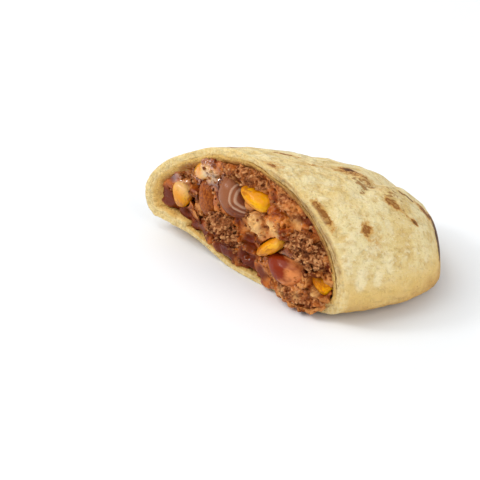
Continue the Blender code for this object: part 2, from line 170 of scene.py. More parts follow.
# Toasted spots: place along the roll in mm and angle round it, half length and half width in mm, the way the
# length runs (0 along the roll, 90 round it), how brown it is and how charred its middle is.
TOASTS = (
    (19.6, 131.0, 2.2, 1.3, 60, 0.90, 0.22),
    (21.3, 135.5, 4.8, 1.6, 62, 0.80, 0.05),
    (22.6, 139.0, 2.1, 1.2, 62, 0.92, 0.34),
    (24.2, 143.0, 3.0, 1.8, 60, 0.42, 0.0),
    (33.9, 142.0, 3.2, 2.0, 75, 0.72, 0.0),
    (36.6, 147.0, 3.4, 2.8, 70, 0.34, 0.0),
    (42.0, 116.8, 2.2, 1.6, 20, 0.88, 0.30),
    (43.8, 119.2, 2.0, 1.3, 40, 0.84, 0.28),
    (42.8, 118.0, 3.6, 2.6, 30, 0.58, 0.0),
    (48.8, 128.0, 1.5, 1.0, 20, 0.98, 0.45),
    (46.8, 125.0, 3.0, 1.0, 40, 0.42, 0.0),
    (31.6, 89.4, 3.4, 1.8, 12, 0.95, 0.55),
    (31.4, 92.5, 6.2, 4.2, 10, 0.58, 0.10),
    (36.4, 97.0, 4.6, 3.0, 20, 0.44, 0.10),
    (6.6, 104.5, 3.6, 1.9, 8, 0.86, 0.10),
    (5.0, 103.0, 7.0, 3.6, 10, 0.58, 0.0),
    (-3.6, 70.0, 7.5, 2.6, 5, 0.72, 0.0),
    (13.0, 80.0, 7.0, 1.6, 5, 0.60, 0.05),
    (9.6, 109.0, 5.4, 1.8, 15, 0.32, 0.0),
    (20.5, 94.0, 8.4, 1.9, 0, 0.38, 0.0),
    (26.5, 91.5, 4.0, 2.2, 0, 0.34, 0.0),
    (38.5, 104.0, 5.6, 3.6, 30, 0.30, 0.0),
    (53.3, 105.5, 4.0, 2.4, 30, 0.80, 0.35),
    (49.0, 100.0, 2.2, 1.0, 15, 0.72, 0.55),
    (46.6, 99.0, 1.8, 1.0, 10, 0.70, 0.50),
    (56.4, 112.0, 4.2, 3.2, 50, 0.95, 0.80),
    (56.9, 133.0, 6.0, 2.6, 85, 1.00, 1.00),
    (57.0, 98.0, 4.0, 2.6, 40, 0.75, 0.35),
    (30.0, 128.0, 5.0, 2.6, 40, 0.20, 0.0),
    (13.0, 42.0, 5.0, 2.8, 20, 0.60, 0.30),
    (30.0, 36.0, 3.6, 2.2, 70, 0.70, 0.55),
    (42.0, 50.0, 5.4, 3.4, 10, 0.60, 0.25),
    (2.0, 24.0, 3.6, 2.4, 0, 0.55, 0.10),
    (24.0, 14.0, 6.0, 2.6, 10, 0.50, 0.20),
    (-8.0, 40.0, 4.0, 2.0, 30, 0.55, 0.20),
    (49.0, 22.0, 4.0, 3.2, 50, 0.80, 0.60),
    (36.0, 66.0, 3.4, 2.2, 40, 0.60, 0.35),
    (55.5, 60.0, 4.0, 3.0, 40, 0.75, 0.50),
)

# Creased stretches with fine toasted specks: place, angle, half length and half width in mm, and how dense.
SPECKS = (
    (35.0, 104.0, 5.0, 6.0, 1.0),
    (43.5, 107.0, 5.5, 5.0, 0.8),
    (46.0, 124.0, 4.0, 3.0, 0.5),
    (16.8, 129.0, 2.2, 1.6, 0.5),
    (22.0, 40.0, 8.0, 6.0, 0.6),
)

# The larger pieces on the cut, as in the solids: (across, out, up) of the centre, the way the long axis
# points, the way the thin axis points, and length, width and thickness. Sizes here are in mm.
KERNELS = (
    ((28.6, -1.4, 15.8), (-0.23, -0.10, 1.0), (0.0, 1.0, 0.25), (8.8, 9.2, 5.8)),
    ((-7.6, 0.2, 29.0), (-0.98, -0.05, -0.18), (-0.15, 0.40, 0.92), (13.0, 8.2, 5.8)),
    ((-13.4, 0.4, 15.3), (-0.80, -0.08, 0.60), (0.6, 0.35, 0.80), (14.0, 7.4, 5.0)),
    ((-34.0, -0.6, 11.2), (-0.95, 0.0, -0.30), (0.1, 0.8, 0.6), (8.4, 6.4, 4.6)),
    ((18.4, -1.6, 27.8), (-0.85, 0.0, 0.52), (-0.1, 0.8, 0.5), (9.0, 7.2, 5.0)),
)
BEANS = (
    ((2.2, -0.8, 25.4), (-0.72, 0.05, -0.70), (-0.2, 0.9, 0.2), (13.6, 8.8, 7.8)),
    ((-20.8, -0.1, 11.6), (-0.99, -0.05, -0.06), (0.0, 0.85, 0.5), (15.6, 7.9, 7.4)),
    ((16.6, -2.2, 19.2), (0.10, -0.05, 1.0), (0.1, 1.0, 0.1), (13.0, 8.2, 7.2)),
)
KERNEL_NECK = 0.30
NECK_BEGINS = 0.62
CROWN_TAPER = 0.10
CROWN_RUN = (0.2, 0.5)
CROWN_DENT = 0.12
KERNEL_CREASE = 0.05
BEAN_BEND = 0.0014
BEAN_FULLNESS = 0.10
GRAIN_AROUND = 72
GRAIN_ROWS = 48
KERNEL_UNEVEN = 0.05
BEAN_UNEVEN = 0.04

# The folds of a bean's slipped skin, as arcs about a point of the cut (across, up): where the first is, how
# far apart they are, and where they begin and end, in mm.
FOLD_CENTRE = (-4.6, 28.6)
FOLD_RADIUS = 5.1
FOLD_SPACING = 1.35
FOLDS_BEGIN = (4.0, 4.7)
FOLDS_END = (7.0, 8.4)
FOLD_RISE = 0.00016
FOLD_WANDER = 0.3
FOLD_WANDER_SIZE = 0.003

# Lumps of minced beef: centre and long axis as above, radii in mm, and how thickly sauce coats them.
CHUNKS = (
    ((8.0, -1.0, 12.4), (-1.0, 0.0, -0.20), (8.8, 4.0, 5.4), 0.10),
    ((-27.8, -0.7, 19.8), (-1.0, 0.0, -0.40), (8.0, 4.2, 5.0), 0.06),
    ((-17.4, -0.4, 24.4), (-0.8, 0.0, -0.60), (6.4, 3.8, 4.8), 0.85),
    ((-27.0, 1.2, 5.6), (-1.0, 0.0, 0.05), (9.4, 3.6, 3.2), 0.40),
    ((12.6, -1.6, 31.4), (1.0, 0.0, -0.45), (6.0, 3.4, 3.4), 0.55),
    ((-4.2, -1.4, 34.0), (-1.0, 0.0, -0.05), (7.2, 3.0, 2.8), 0.25),
    ((-8.2, -0.4, 20.8), (-0.9, 0.0, -0.40), (4.2, 3.4, 3.4), 0.90),
    ((-20.2, -1.0, 31.2), (-1.0, 0.0, -0.45), (4.8, 3.0, 2.8), 0.35),
)
CHUNK_VOXEL = 0.00022
CHUNK_BODY = 0.84
CHUNK_RELIEF = 0.00036
CHUNK_RELIEF_SIZE = 0.0008
GRAIN_RADIUS = 0.00056
GRAIN_SPACING = 0.00122
GRAIN_STRETCH = ((1.0, 3.2), (0.5, 1.0), (0.5, 1.0))
GRAIN_ROUGH = 0.55
GRAINS_PER_SQUARE = 4.6
GOLDEN_TURN = math.pi * (3 - math.sqrt(5))

# The wall holds the filling in, up to FREE_FRONT in front of the cut, or FREE_SPILL where it spills over.
# NESTLE is how much of a grain, a bean or a lump is kept clear of what lies behind it.
CORE_LEVEL = 0.016
WALL_GAP = 0.0001
FREE_FRONT = 0.0034
FREE_SPILL = 0.0002
NESTLE = 0.90

# The mass behind them: a core, a slab that is its face, crumbs run together on it, and crumbs loose on top.
# What stands out by more than PROUD keeps only a share of the rest.
CORE_ROWS = 26
CORE_AROUND = 120
CORE_INSET = 0.0005
CORE_START = -0.044
CORE_FRONT = -0.0088
FACE_FRONT = -0.0046
PROUD = 0.0018
PROUD_SHARE = 0.35
FACE_VOXEL = 0.00036
FACE_THICKNESS = 0.0055
CRUMB_TRIES = 7000
CRUMB_RADII = (0.0009, 0.0040)
CRUMB_STRETCH = ((0.9, 1.7), (0.6, 1.1), (0.6, 1.1))
CRUMB_ROUGH = 0.6
CRUMB_SPACING = 0.66
CRUMB_SEAT = 0.0010
CRUMB_ROOT = 0.0034
CRUMB_ROOT_DEPTH = 0.0026
FACE_RELIEF = 0.00034
FACE_RELIEF_SIZE = 0.0010
FACE_LOWEST = 0.0003
COAT_PATCH = 0.007
CUT_SPAN = (-0.046, 0.046)
CUT_LEVELS = (0.001, 0.042)
WALL_OVERLAP = (0.60, 0.10)
WALL_OVERLAP_ACROSS = (0.008, 0.026)
LOOSE_CRUMBS = 420
LOOSE_RADII = (0.00020, 0.00062)
LOOSE_STRETCH = ((0.9, 1.7), (0.7, 1.0), (0.7, 1.0))
LOOSE_ROUGH = 0.5
LOOSE_SPAN = (-0.042, 0.042)
LOOSE_LEVELS = (0.002, 0.038)
LOOSE_ROOM = 0.0012
SMOOTH_SAUCE = 0.55
FROM_FRONT = 0.03
HOLLOW_SCALE = 0.0005

# Lumps of filling that have spilled over the edge of the wrap low down: (across, out, up) and radius in mm.
SPILLED = (
    ((-15.5, 0.2, 3.4), 2.0), ((-18.6, 1.0, 2.6), 2.2), ((-21.8, 1.6, 2.6), 2.3), ((-25.0, 1.8, 2.2), 2.0),
    ((-28.0, 1.9, 2.4), 2.2), ((-31.2, 1.6, 2.8), 2.1), ((-34.0, 1.0, 4.4), 1.9), ((-23.5, 2.2, 4.6), 1.6),
    ((-29.6, 2.2, 4.8), 1.5), ((-36.0, 0.4, 7.6), 1.7),
)

# Where sauce lies thick: (across, up) and radius in mm, how deep it sinks in mm (or rises, below 0), how
# smoothly it coats the crumbs, and its tone: 1 or more for dark, 0 for what the rest has and -1 for pale.
POOLS = (
    ((29.5, 10.0), 8.2, -0.7, 1.0, 1.25),
    ((36.0, 12.0), 4.4, -0.5, 1.0, 1.2),
    ((20.0, 6.6), 5.6, -0.3, 1.0, 1.2),
    ((8.0, 5.4), 7.4, 0.3, 0.9, 1.2),
    ((-2.0, 5.8), 5.8, 0.4, 0.9, 1.1),
    ((-3.6, 12.4), 4.2, 0.5, 1.0, 0.9),
    ((-9.5, 5.4), 4.2, 0.2, 0.9, 0.85),
    ((9.6, 23.0), 2.2, 1.8, 0.8, 1.0),
    ((33.0, 20.0), 3.2, 0.4, 0.9, 0.70),
    ((22.0, 21.5), 2.6, 0.9, 0.8, 0.95),
    ((15.1, 20.5), 5.0, 0.0, 1.0, -0.10),
    ((13.0, 29.0), 3.8, 0.0, 0.6, -0.90),
    ((-7.2, 20.4), 4.6, 0.0, 0.9, -1.0),
    ((-15.6, 21.9), 4.2, 0.0, 1.0, -0.70),
    ((-17.5, 30.2), 4.2, 0.0, 0.9, -0.20),
    ((-24.1, 27.1), 3.4, 0.0, 0.8, -0.35),
    ((-12.0, 10.5), 3.4, 0.3, 0.9, 0.55),
    ((-33.5, 9.4), 3.0, 0.0, 0.8, -0.55),
    ((-20.6, 5.0), 2.8, 0.0, 0.3, -0.70),
    ((-28.0, 6.0), 2.6, 0.0, 0.3, -0.50),
    ((-24.4, 15.0), 3.0, 0.6, 0.5, 0.85),
    ((2.0, 18.0), 3.0, 0.3, 0.8, 0.75),
    ((-1.0, 31.5), 4.0, 0.3, 0.3, 0.75),
    ((-11.5, 25.6), 1.6, 0.8, 0.7, 0.80),
    ((-37.0, 10.4), 1.8, 1.0, 0.3, 1.0),
    ((-36.5, 17.0), 3.0, 0.8, 0.1, 0.80),
    ((-33.6, 23.5), 2.8, 0.7, 0.1, 0.70),
    ((-28.4, 29.0), 2.6, 0.5, 0.2, 0.60),
    ((-31.0, 14.6), 2.2, 0.4, 0.2, 0.60),
)

# Where the sauce is wettest: (across, up) and radius in mm.
GLAZED = (
    ((22.5, 26.0), 5.5),
    ((12.5, 29.5), 4.5),
    ((30.0, 21.0), 3.5),
    ((15.0, 21.0), 3.0),
    ((-20.0, 12.5), 3.0),
)
POOL_FALL = 1.4

# The camera, in the roll's frame, and its lens.
CAMERA_PLACE = Vector((-0.0346, -0.5251, 0.3045))
CAMERA_BACK = Vector((-0.0965, -0.8751, 0.4742))
CAMERA_RIGHT = Vector((0.9940, -0.1096, 0.0))
CAMERA_TURN = (0.03938, 0.01378)
LENS = 152.7

# Lights: place, size, power and colour. Below them, the light of the air and the floor.
LIGHTS = {
    "key": ((-0.60, 0.05, 0.90), 0.95, 5.8, (1.0, 0.985, 0.96)),
    "spark": ((-0.80, 0.12, 0.66), 0.2, 2.2, (1, 1, 1)),
    "front": ((0.72, -0.88, 0.66), 0.9, 6.6, (1, 1, 1)),
    "rim": ((-0.30, 0.95, 0.55), 0.5, 1.8, (1, 1, 1)),
}
AIR = 0.55
FLOOR_HALF = 3.0
FLOOR_COLOUR = (0.85, 0.875, 0.905, 1)

# The skin of each corn grain: how pale its crown is (partly painted sheen, strongest on the first and fifth
# grains), how wet it is and how much sauce sits on it.
KERNEL_SKINS = ((0.60, 0.25, 0), (0.02, 0.1, -0.04), (0.12, 0.1, 0.02), (0, 0.06, 0.13), (1.6, 0.9, -0.04))


def signed_power(value, exponent):
    return math.copysign(abs(value) ** exponent, value)


def smooth_step(value):
    value = min(max(value, 0.0), 1.0)
    return value * value * (3 - 2 * value)


def between(value, limits):
    """0 at the first of two limits, 1 at the second, and smooth in between."""
    return smooth_step((value - limits[0]) / (limits[1] - limits[0]))


def lumpy(place, octaves=3):
    """Soft noise with finer noise on top of it."""
    return noise.fractal(place, 1.0, 2.0, octaves)


def ridged(place):
    """Noise of thin ridges with wide hollows between them."""
    return noise.ridged_multi_fractal(place, 1.0, 2.0, 2, 1.0, 1.6) - 1.0


def closing(run, power):
    """How much of a section is left where run, from 0 to 1, nears the folded end."""
    return (1 - min(max(run, 0.0), 1.0) ** power) ** (1 / power)


def underside(x, y):
    """The level that the outside of the roll comes down to."""
    return LIFT * between(y, LIFT_SIDE) * (1 - between(x, LIFT_END))


def section_point(x, angle, inset, length):
    """A point of the roll's section at x, moved in by inset from its outside. The body closes at length."""
    along = min(max(x / HALF_LENGTH, 0.0), 1.0)
    run = x / length
    side, rise = math.cos(angle), math.sin(angle)
    side = signed_power(side, 2 / (TOP_POWER if rise >= 0 else BOTTOM_POWER))
    width = (HALF_WIDTH * (1 - END_NARROWING * along**2) - inset) * closing(run, END_PLAN_POWER)
    top = HEIGHT * (1 - SIDE_THINNING * side) - WIDEST_LEVEL - inset
    bottom = WIDEST_LEVEL - inset
    if rise >= 0:
        z = WIDEST_LEVEL + top * rise ** (2 / TOP_POWER)
    else:
        z = WIDEST_LEVEL - bottom * (-rise) ** (2 / BOTTOM_POWER)
    low = END_LEVEL + inset
    z = low + (z - low) * (1 - END_DROP * along**1.5) * closing(run, END_SIDE_POWER)
    y = width * side
    return Vector((x, y, max(z - SETTLE, underside(x, y) + inset)))


def outer_inset(angle):
    """The sheet's outer edge steps in under the roll, and the turn below it comes back out."""
    past = (angle - OUTER_EDGE) / EDGE_RAMP
    return SHEET * (1 - smooth_step(past)) if past >= 0 else 0.0


def inner_inset(angle):
    """The wall is two sheets thick, and one between the sheet's two edges."""
    return SHEET + (outer_inset(angle) if OUTER_EDGE <= angle < INNER_EDGE else SHEET)


def wall_point(x, angle, share):
    """A point in the wall of the wrap: share 0 is its outside and 1 its inside."""
    outside = section_point(x, angle, outer_inset(angle), HALF_LENGTH)
    return outside.lerp(section_point(x, angle, inner_inset(angle), HOLLOW_LENGTH), share)


def cut_x(angle, share):
    """Where along the roll the knife crosses the wall."""
    x = 0.0
    for _ in range(7):
        x = -math.tan(CUT_SLANT) * wall_point(x, angle, share).y
    return x


def on_cut(across, out, up):
    return ACROSS * across + OUT * out + UP * up


def cut_place(point):
    """The (across, out, up) of a point."""
    return point.dot(ACROSS), point.dot(OUT), point.z


def outward(point):
    return (point - Vector((point.x, 0, WIDEST_LEVEL))).normalized()


def swelling(point):
    """How far the wrap stands out or in at a point of its outside."""
    lump = SWELL * lumpy(point / SWELL_SIZE + SWELL_PLACE, 2)
    flat = Vector((point.x, point.y))
    upper = between(point.z, (WIDEST_LEVEL, HEIGHT))
    for place, size, rise in LUMPS:
        lump += rise * math.exp(-((flat - place).length / size) ** 2) * upper
    way = CREASE_END - CREASE_START
    share = min(max((flat - CREASE_START).dot(way) / way.length_squared, 0.0), 1.0)
    away = (flat - CREASE_START - way * share).length / CREASE_WIDTH
    crease = CREASE_DEPTH * math.exp(-away * away) * between(share * 3, CREASE_FADE)
    return (lump - crease) * between(point.z, SWELL_LEVELS)


def cut_wave(across, up):
    return CUT_WAVE * noise.noise(Vector((across, up, 0)) / CUT_WAVE_SIZE + SWELL_PLACE)


def filling_front(across, up):
    """How far the filling stands out: sunk on the thin side, spilling over low on the thick side."""
    spill = FACE_SPILL * between(across, SPILL_ACROSS) * between(up, SPILL_LEVELS)
    return spill - FACE_SINK * between(across, SINK_ACROSS) - FACE_DEPTH


class Patch:
    """An oval place on the outside of the wrap, with half sizes along and across its own length."""

    def __init__(self, x_mm, angle_deg, half_length, half_width, turn_deg):
        angle = math.radians(angle_deg)
        self.centre = wall_point(x_mm * MM, angle, 0)
        round_way = (wall_point(x_mm * MM, angle + 0.01, 0) - self.centre).normalized()
        roll_way = (wall_point(x_mm * MM - 0.0005, angle, 0) - self.centre).normalized() * -1
        turn = math.radians(turn_deg)
        self.along = roll_way * math.cos(turn) + round_way * math.sin(turn)
        self.aside = round_way * math.cos(turn) - roll_way * math.sin(turn)
        self.half_length, self.half_width = half_length * MM, half_width * MM

    def distance(self, point):
        """0 at the middle of the patch, 1 on its outline."""
        gap = point - self.centre
        if gap.length > 3 * max(self.half_length, self.half_width):
            return FAR_OFF
        return math.hypot(gap.dot(self.along) / self.half_length, gap.dot(self.aside) / self.half_width)


TOAST_PATCHES = [(Patch(*spot[:5]), spot[5], spot[6]) for spot in TOASTS]
SPECK_PATCHES = [(Patch(*spot[:4], 0), spot[4]) for spot in SPECKS]
BLISTER_PATCHES = [Patch(x, angle, length, width, 90) for x, angle, length, width in BLISTERS]


def strongest(patches, point):
    """The pull of the strongest of some (patch, strength) pairs at a point."""
    return max(strength * math.exp(-patch.distance(point) ** 2) for patch, strength in patches)


def blister_rise(point):
    """1 in the middle of a blister, 0 outside, with a steep side."""
    return 1 - between(min(patch.distance(point) for patch in BLISTER_PATCHES), BLISTER_SIDE)


def crinkle(point):
    """The fine relief of cooked dough: pillows, wrinkles along the roll, puckers and blisters."""
    pillow = PILLOW * lumpy(point / PILLOW_SIZE + PILLOW_PLACE)
    wrinkle = WRINKLE * ridged(point * WRINKLES)
    creased = strongest(SPECK_PATCHES, point)
    pucker = PUCKER * creased * ridged(point / PUCKER_SIZE)
    return pillow + wrinkle * (0.35 + 0.9 * creased) + pucker + BLISTER_RISE * blister_rise(point)


def rim_noise(angle, fineness, depth):
    """Noise that runs round the rim of the wrap, at a place in its depth."""
    return noise.noise(Vector((math.cos(angle), math.sin(angle), 0)) * fineness + Vector((0, 0, depth)))


def layer_relief(angle, depth_mm):
    """Torn layers on the cut edge of the dough, finer across the wall than along it."""
    coarse = rim_noise(angle, 9, depth_mm * 1.3)
    fine = rim_noise(angle, 26, depth_mm * 3.4 + 7)
    grain = rim_noise(angle, 90, depth_mm * 5)
    leaves = math.sin(depth_mm * 7.5 + 2.5 * rim_noise(angle, 5, 0)) * near_slit(angle)
    return FLAKE * (0.9 * coarse + 0.9 * fine + 0.4 * grain + 0.6 * leaves)


def near_slit(angle):
    """1 where the turns of the sheet have come apart, 0 where they hold together."""
    away = abs((angle - SLIT_MIDDLE + math.pi) % math.tau - math.pi)
    return 1 - smooth_step((away - SLIT_HALF) / SLIT_FADE)


def slit_depth(angle):
    """How deep the gap between the two turns of the sheet gapes."""
    patchy = max(0.0, 0.5 + 0.8 * rim_noise(angle, 7, 1.7))
    return (SLIT_DEPTH * near_slit(angle) + HAIRLINE) * patchy


def inner_round(angle):
    """How softly the cut edge turns inward: most of all on the thin side."""
    return INNER_ROUND + THIN_SIDE_ROUND * max(0.0, math.cos(angle - THIN_SIDE_ANGLE))


def edge_fall(share, thickness, angle):
    """How far the cut edge of the dough falls back as it rounds off to its outside and its inside."""
    fall = 0.0
    for depth, radius in ((share * thickness, OUTER_ROUND), ((1 - share) * thickness, inner_round(angle))):
        run = 1 - min(depth / radius, 1.0)
        fall += radius * (1 - math.sqrt(1 - run * run))
    return fall / math.cos(CUT_SLANT)


def wrap_rows():
    """The rows of the wrap's skin, from the tip of the folded end, over the cut edge and back inside."""
    rows = [("outside", math.sin(math.pi / 2 * (1 - row / OUTER_ROWS)) ** 0.9) for row in range(OUTER_ROWS)]
    rows.append(("outside", 0.0))
    rows += [("edge", share) for share in RIM_SHARES]
    rows += [("slit", share) for share in SLIT_SHARES]
    rows += [("edge", 1 - share) for share in reversed(RIM_SHARES)]
    rows += [("inside", (row / INNER_ROWS) ** 1.8) for row in range(INNER_ROWS + 1)]
    return rows


def wetness(angle):
    """How far the rim is stained by the filling, round the roll."""
    return (1 + math.cos(angle - STAIN_ANGLE)) / 2


def outside_point(share, angle):
    """A point of the wrap's outside, share of the way to the folded end, as in wrap_point."""
    edge_x = cut_x(angle, 0) + OUTER_ROUND / math.cos(CUT_SLANT)
    bed = wall_point(edge_x + (HALF_LENGTH - edge_x) * share, angle, 0)
    settle = smooth_step((bed.z - underside(bed.x, bed.y)) / RELIEF_FADE)
    point = bed + outward(bed) * (swelling(bed) + crinkle(bed) * settle)
    toast = strongest([(patch, brown) for patch, brown, _ in TOAST_PATCHES], bed)
    char = strongest([(patch, dark) for patch, _, dark in TOAST_PATCHES], bed)
    golden = smooth_step((GOLDEN_LEVEL - bed.z) / GOLDEN_LEVEL)
    lip = 1 - smooth_step((bed.x - edge_x) / LIP)
    return point, (toast, char, golden, blister_rise(bed)), (0.7 * lip, 0.0, 0.0, 0.0)


def inside_point(share, angle):
    """A point of the wrap's inside, share of the way to the folded end, as in wrap_point."""
    edge_x = cut_x(angle, 1) + inner_round(angle) / math.cos(CUT_SLANT)
    point = wall_point(edge_x + (HOLLOW_LENGTH - edge_x) * share, angle, 1)
    point += outward(point) * INSIDE_RELIEF * noise.noise(point / INSIDE_RELIEF_SIZE)
    stain = 0.5 + 0.4 * wetness(angle) + 0.6 * smooth_step(share * 30)
    stain += 0.2 * noise.noise(point / INSIDE_STAIN_SIZE)
    return point, (0.0, 0.0, 0.4, 0.0), (1.0, stain, 0.0, smooth_step(share * 25 - 0.4))


def cut_edge_point(share, angle, in_slit):
    """A point of the wrap's cut edge, share of the way from its outside to its inside, as in wrap_point."""
    moved = share + LAYER_WANDER * rim_noise(angle, 4, 4.2) * 4 * share * (1 - share)
    point = wall_point(cut_x(angle, moved), angle, moved)
    across, _, up = cut_place(point)
    point += outward(point) * swelling(point) * (1 - share)
    thickness = inner_inset(angle) - outer_inset(angle)
    relief = layer_relief(angle, moved * thickness / MM)
    groove = slit_depth(angle) if in_slit else 0.0
    point += OUT * (cut_wave(across, up) + relief - groove)
    point.x += edge_fall(share, thickness, angle)
    stain = smooth_step((share - 0.55 + 0.40 * wetness(angle)) / 0.70)
    stain += 0.35 * noise.noise(point / STAIN_SIZE) * share
    apart = near_slit(angle)
    # Painted shade: darker in the slit, in sunk layers and where the turns have come apart.
    dark = min(1.0, groove / SLIT_FULL_SHADE_DEPTH) + max(0.0, -relief / FLAKE) * 0.5 * (0.3 + apart)
    dark += apart * (0.55 + 0.5 * rim_noise(angle, 8, share * 7))
    return point, (0.0, 0.0, 0.3, 0.0), (1.0, max(stain, 0.0), min(dark, 1.0), 0.0)


def wrap_point(kind, share, angle):
    """A point of the wrap, (toast, char, golden, blister) and (edge, stain, groove, inside) there, where
    groove is painted shade in the slit and in sunk layers.
    """
    if kind == "outside":
        return outside_point(share, angle)
    if kind == "inside":
        return inside_point(share, angle)
    return cut_edge_point(share, angle, kind == "slit")


def finished_object(name, bm, smooth_angle=60):
    """A new object at the origin from a bmesh, shaded smooth up to an angle."""
    mesh = bpy.data.meshes.new(name)
    bm.to_mesh(mesh)
    bm.free()
    mesh.shade_smooth()
    mesh.set_sharp_from_angle(angle=math.radians(smooth_angle))
    piece = bpy.data.objects.new(name, mesh)
    bpy.context.scene.collection.objects.link(piece)
    return piece


def make_wrap():
    """The wrap as one skin: a grid whose columns go round the roll and whose rows follow wrap_rows."""
    rows = wrap_rows()
    bm = bmesh.new()
    bmesh.ops.create_grid(bm, x_segments=AROUND, y_segments=len(rows) - 1, size=0.5)
    bake = bm.verts.layers.float_color.new("bake")
    cut = bm.verts.layers.float_color.new("cut")
    speck = bm.verts.layers.float.new("speck")
    for vertex in bm.verts:
        angle = math.tau * (vertex.co.x + 0.5)
        kind, share = rows[round((vertex.co.y + 0.5) * (len(rows) - 1))]
        vertex.co, vertex[bake], vertex[cut] = wrap_point(kind, share, angle)
        if kind == "outside":
            vertex[speck] = strongest(SPECK_PATCHES, vertex.co)
        vertex.co.z = max(vertex.co.z, 0.0)
    bmesh.ops.remove_doubles(bm, verts=bm.verts, dist=MERGE)
    bmesh.ops.recalc_face_normals(bm, faces=bm.faces)
    return finished_object("tortilla_wrap", bm)


def frame_at(centre, long_axis, thin_axis):
    """The matrix of a piece on the cut, from its centre in millimetres and the ways its axes point."""
    along = on_cut(*long_axis).normalized()
    thin = on_cut(*thin_axis)
    thin = (thin - along * thin.dot(along)).normalized()
    turned = Matrix((along, thin.cross(along), thin)).transposed()
    return Matrix.Translation(on_cut(*centre) * MM) @ turned.to_4x4()


def kernel_place(share, size):
    """Where a point of a ball of radius 1 lies on a grain of sweetcorn."""
    neck = 1 - KERNEL_NECK * smooth_step(NECK_BEGINS - share.x / 2)
    crown = 1 - CROWN_TAPER * between(share.x / 2, CROWN_RUN)
    dent = CROWN_DENT * math.exp(-((share.x - 0.45) / 0.35) ** 2 - (share.y / 0.5) ** 2)
    crease = KERNEL_CREASE * math.exp(-(share.y / 0.16) ** 2) * smooth_step(share.x + 0.3)
    flat = neck * (1 - dent - crease)
    return Vector((share.x * size.x * crown, share.y * size.y * neck, share.z * size.z * flat)) / 2


def bean_place(share, size):
    """Where a point of a ball of radius 1 lies on a bean."""
    fullness = 1 + BEAN_FULLNESS * math.cos(math.pi * share.x / 2)
    bend = BEAN_BEND * (1 - share.x**2)
    width, depth = share.y * size.y * fullness / 2, share.z * size.z * fullness / 2
    return Vector((share.x * size.x / 2, width - bend, depth))


def leafing(point):
    """Thin curved folds where a bean's skin has slipped: how far they stand out, and how strong they are."""
    across, _, up = cut_place(point)
    wander = FOLD_WANDER * noise.noise(Vector((across, up, 0)) / FOLD_WANDER_SIZE)
    away = math.hypot(across / MM - FOLD_CENTRE[0], up / MM - FOLD_CENTRE[1]) + wander
    strength = between(away, FOLDS_BEGIN) * (1 - between(away, FOLDS_END))
    ridge = math.cos((away - FOLD_RADIUS) * math.tau / FOLD_SPACING)
    return ridge * strength, strength * (0.55 + 0.45 * ridge)


def make_grain(name, place, seat, uneven, phase, folded=False):
    """A corn grain or a bean as a fine, uneven ball, with its own coordinates as an attribute."""
    matrix, size = frame_at(*seat[:3]), Vector(seat[3]) * MM
    bm = bmesh.new()
    bmesh.ops.create_uvsphere(bm, u_segments=GRAIN_AROUND, v_segments=GRAIN_ROWS, radius=1.0)
    bmesh.ops.rotate(bm, verts=bm.verts, matrix=Matrix.Rotation(math.pi / 2, 3, "Y"))
    own = bm.verts.layers.float_vector.new("own")
    fold = bm.verts.layers.float.new("fold")
    for vertex in bm.verts:
        share = vertex.co.copy()
        vertex[own] = share
        bump = uneven * lumpy(share * 1.7 + Vector((phase, 0, 0)))
        vertex.co = matrix @ (place(share, size) * (1 + bump))
        if folded:
            rise, strength = leafing(vertex.co)
            vertex.co += OUT * rise * FOLD_RISE
            vertex[fold] = strength
    bmesh.ops.recalc_face_normals(bm, faces=bm.faces)
    return finished_object(name, bm)


def ball(bm, centre, radii, matrix, roughness, phase, divisions):
    """Adds a lump to a bmesh: a ball pushed in and out by noise."""
    made = bmesh.ops.create_icosphere(bm, subdivisions=divisions, radius=1.0)["verts"]
    for vertex in made:
        way = vertex.co.normalized()
        rough = 1 + roughness * lumpy(way * 1.5 + phase, 2)
        local = Vector((way.x * radii[0], way.y * radii[1], way.z * radii[2])) * rough
        vertex.co = centre + matrix @ local


def spun(draw):
    """A turn at random."""
    turn = Matrix.Rotation(draw.uniform(0, math.tau), 3, "Z")
    return turn @ Matrix.Rotation(draw.uniform(0, math.tau), 3, "X")


def remeshed(bm, voxel, name):
    """Runs overlapping lumps together into one skin of even squares."""
    piece = finished_object(name, bm)
    remesh = piece.modifiers.new("merge", "REMESH")
    remesh.mode = "VOXEL"
    remesh.voxel_size = voxel
    graph = bpy.context.evaluated_depsgraph_get()
    made = bpy.data.meshes.new_from_object(piece.evaluated_get(graph))
    piece.modifiers.clear()
    rough, piece.data = piece.data, made
    bpy.data.meshes.remove(rough)
    return piece


def points_of(mesh):
    flat = np.empty(len(mesh.vertices) * 3)
    mesh.vertices.foreach_get("co", flat)
    return flat.reshape(-1, 3)


def normals_of(mesh):
    flat = np.empty(len(mesh.vertices) * 3)
    mesh.vertex_normals.foreach_get("vector", flat)
    return flat.reshape(-1, 3)


def edges_of(mesh):
    flat = np.empty(len(mesh.edges) * 2, dtype=np.int64)
    mesh.edges.foreach_get("vertices", flat)
    return flat.reshape(-1, 2)


def set_points(mesh, points):
    mesh.vertices.foreach_set("co", points.ravel())
    mesh.update()


def averaged(values, edges, rounds):
    """Each vertex's value evened out with its neighbours', a few times over."""
    for _ in range(rounds):
        total = values.copy()
        count = np.ones(len(values))
        for here, there in ((0, 1), (1, 0)):
            np.add.at(total, edges[:, here], values[edges[:, there]])
            np.add.at(count, edges[:, here], 1)
        values = total / (count[:, None] if values.ndim == 2 else count)
    return values


def paint_values(mesh, name, values):
    """Stores one number a vertex under a name that the finish reads."""
    attribute = mesh.attributes.new(name, "FLOAT", "POINT")
    attribute.data.foreach_set("value", np.asarray(values, dtype=np.float32))


def paint_hollows(mesh, rounds=9):
    """Marks hollows with values above 0.5 and ridges with values below it; the beef finish paints shade into
    the hollows and highlight onto the ridges from it.
    """
    points = points_of(mesh)
    sunk = ((averaged(points, edges_of(mesh), rounds) - points) * normals_of(mesh)).sum(axis=1)
    paint_values(mesh, "hollow", np.clip(0.5 + sunk / HOLLOW_SCALE, 0, 1))


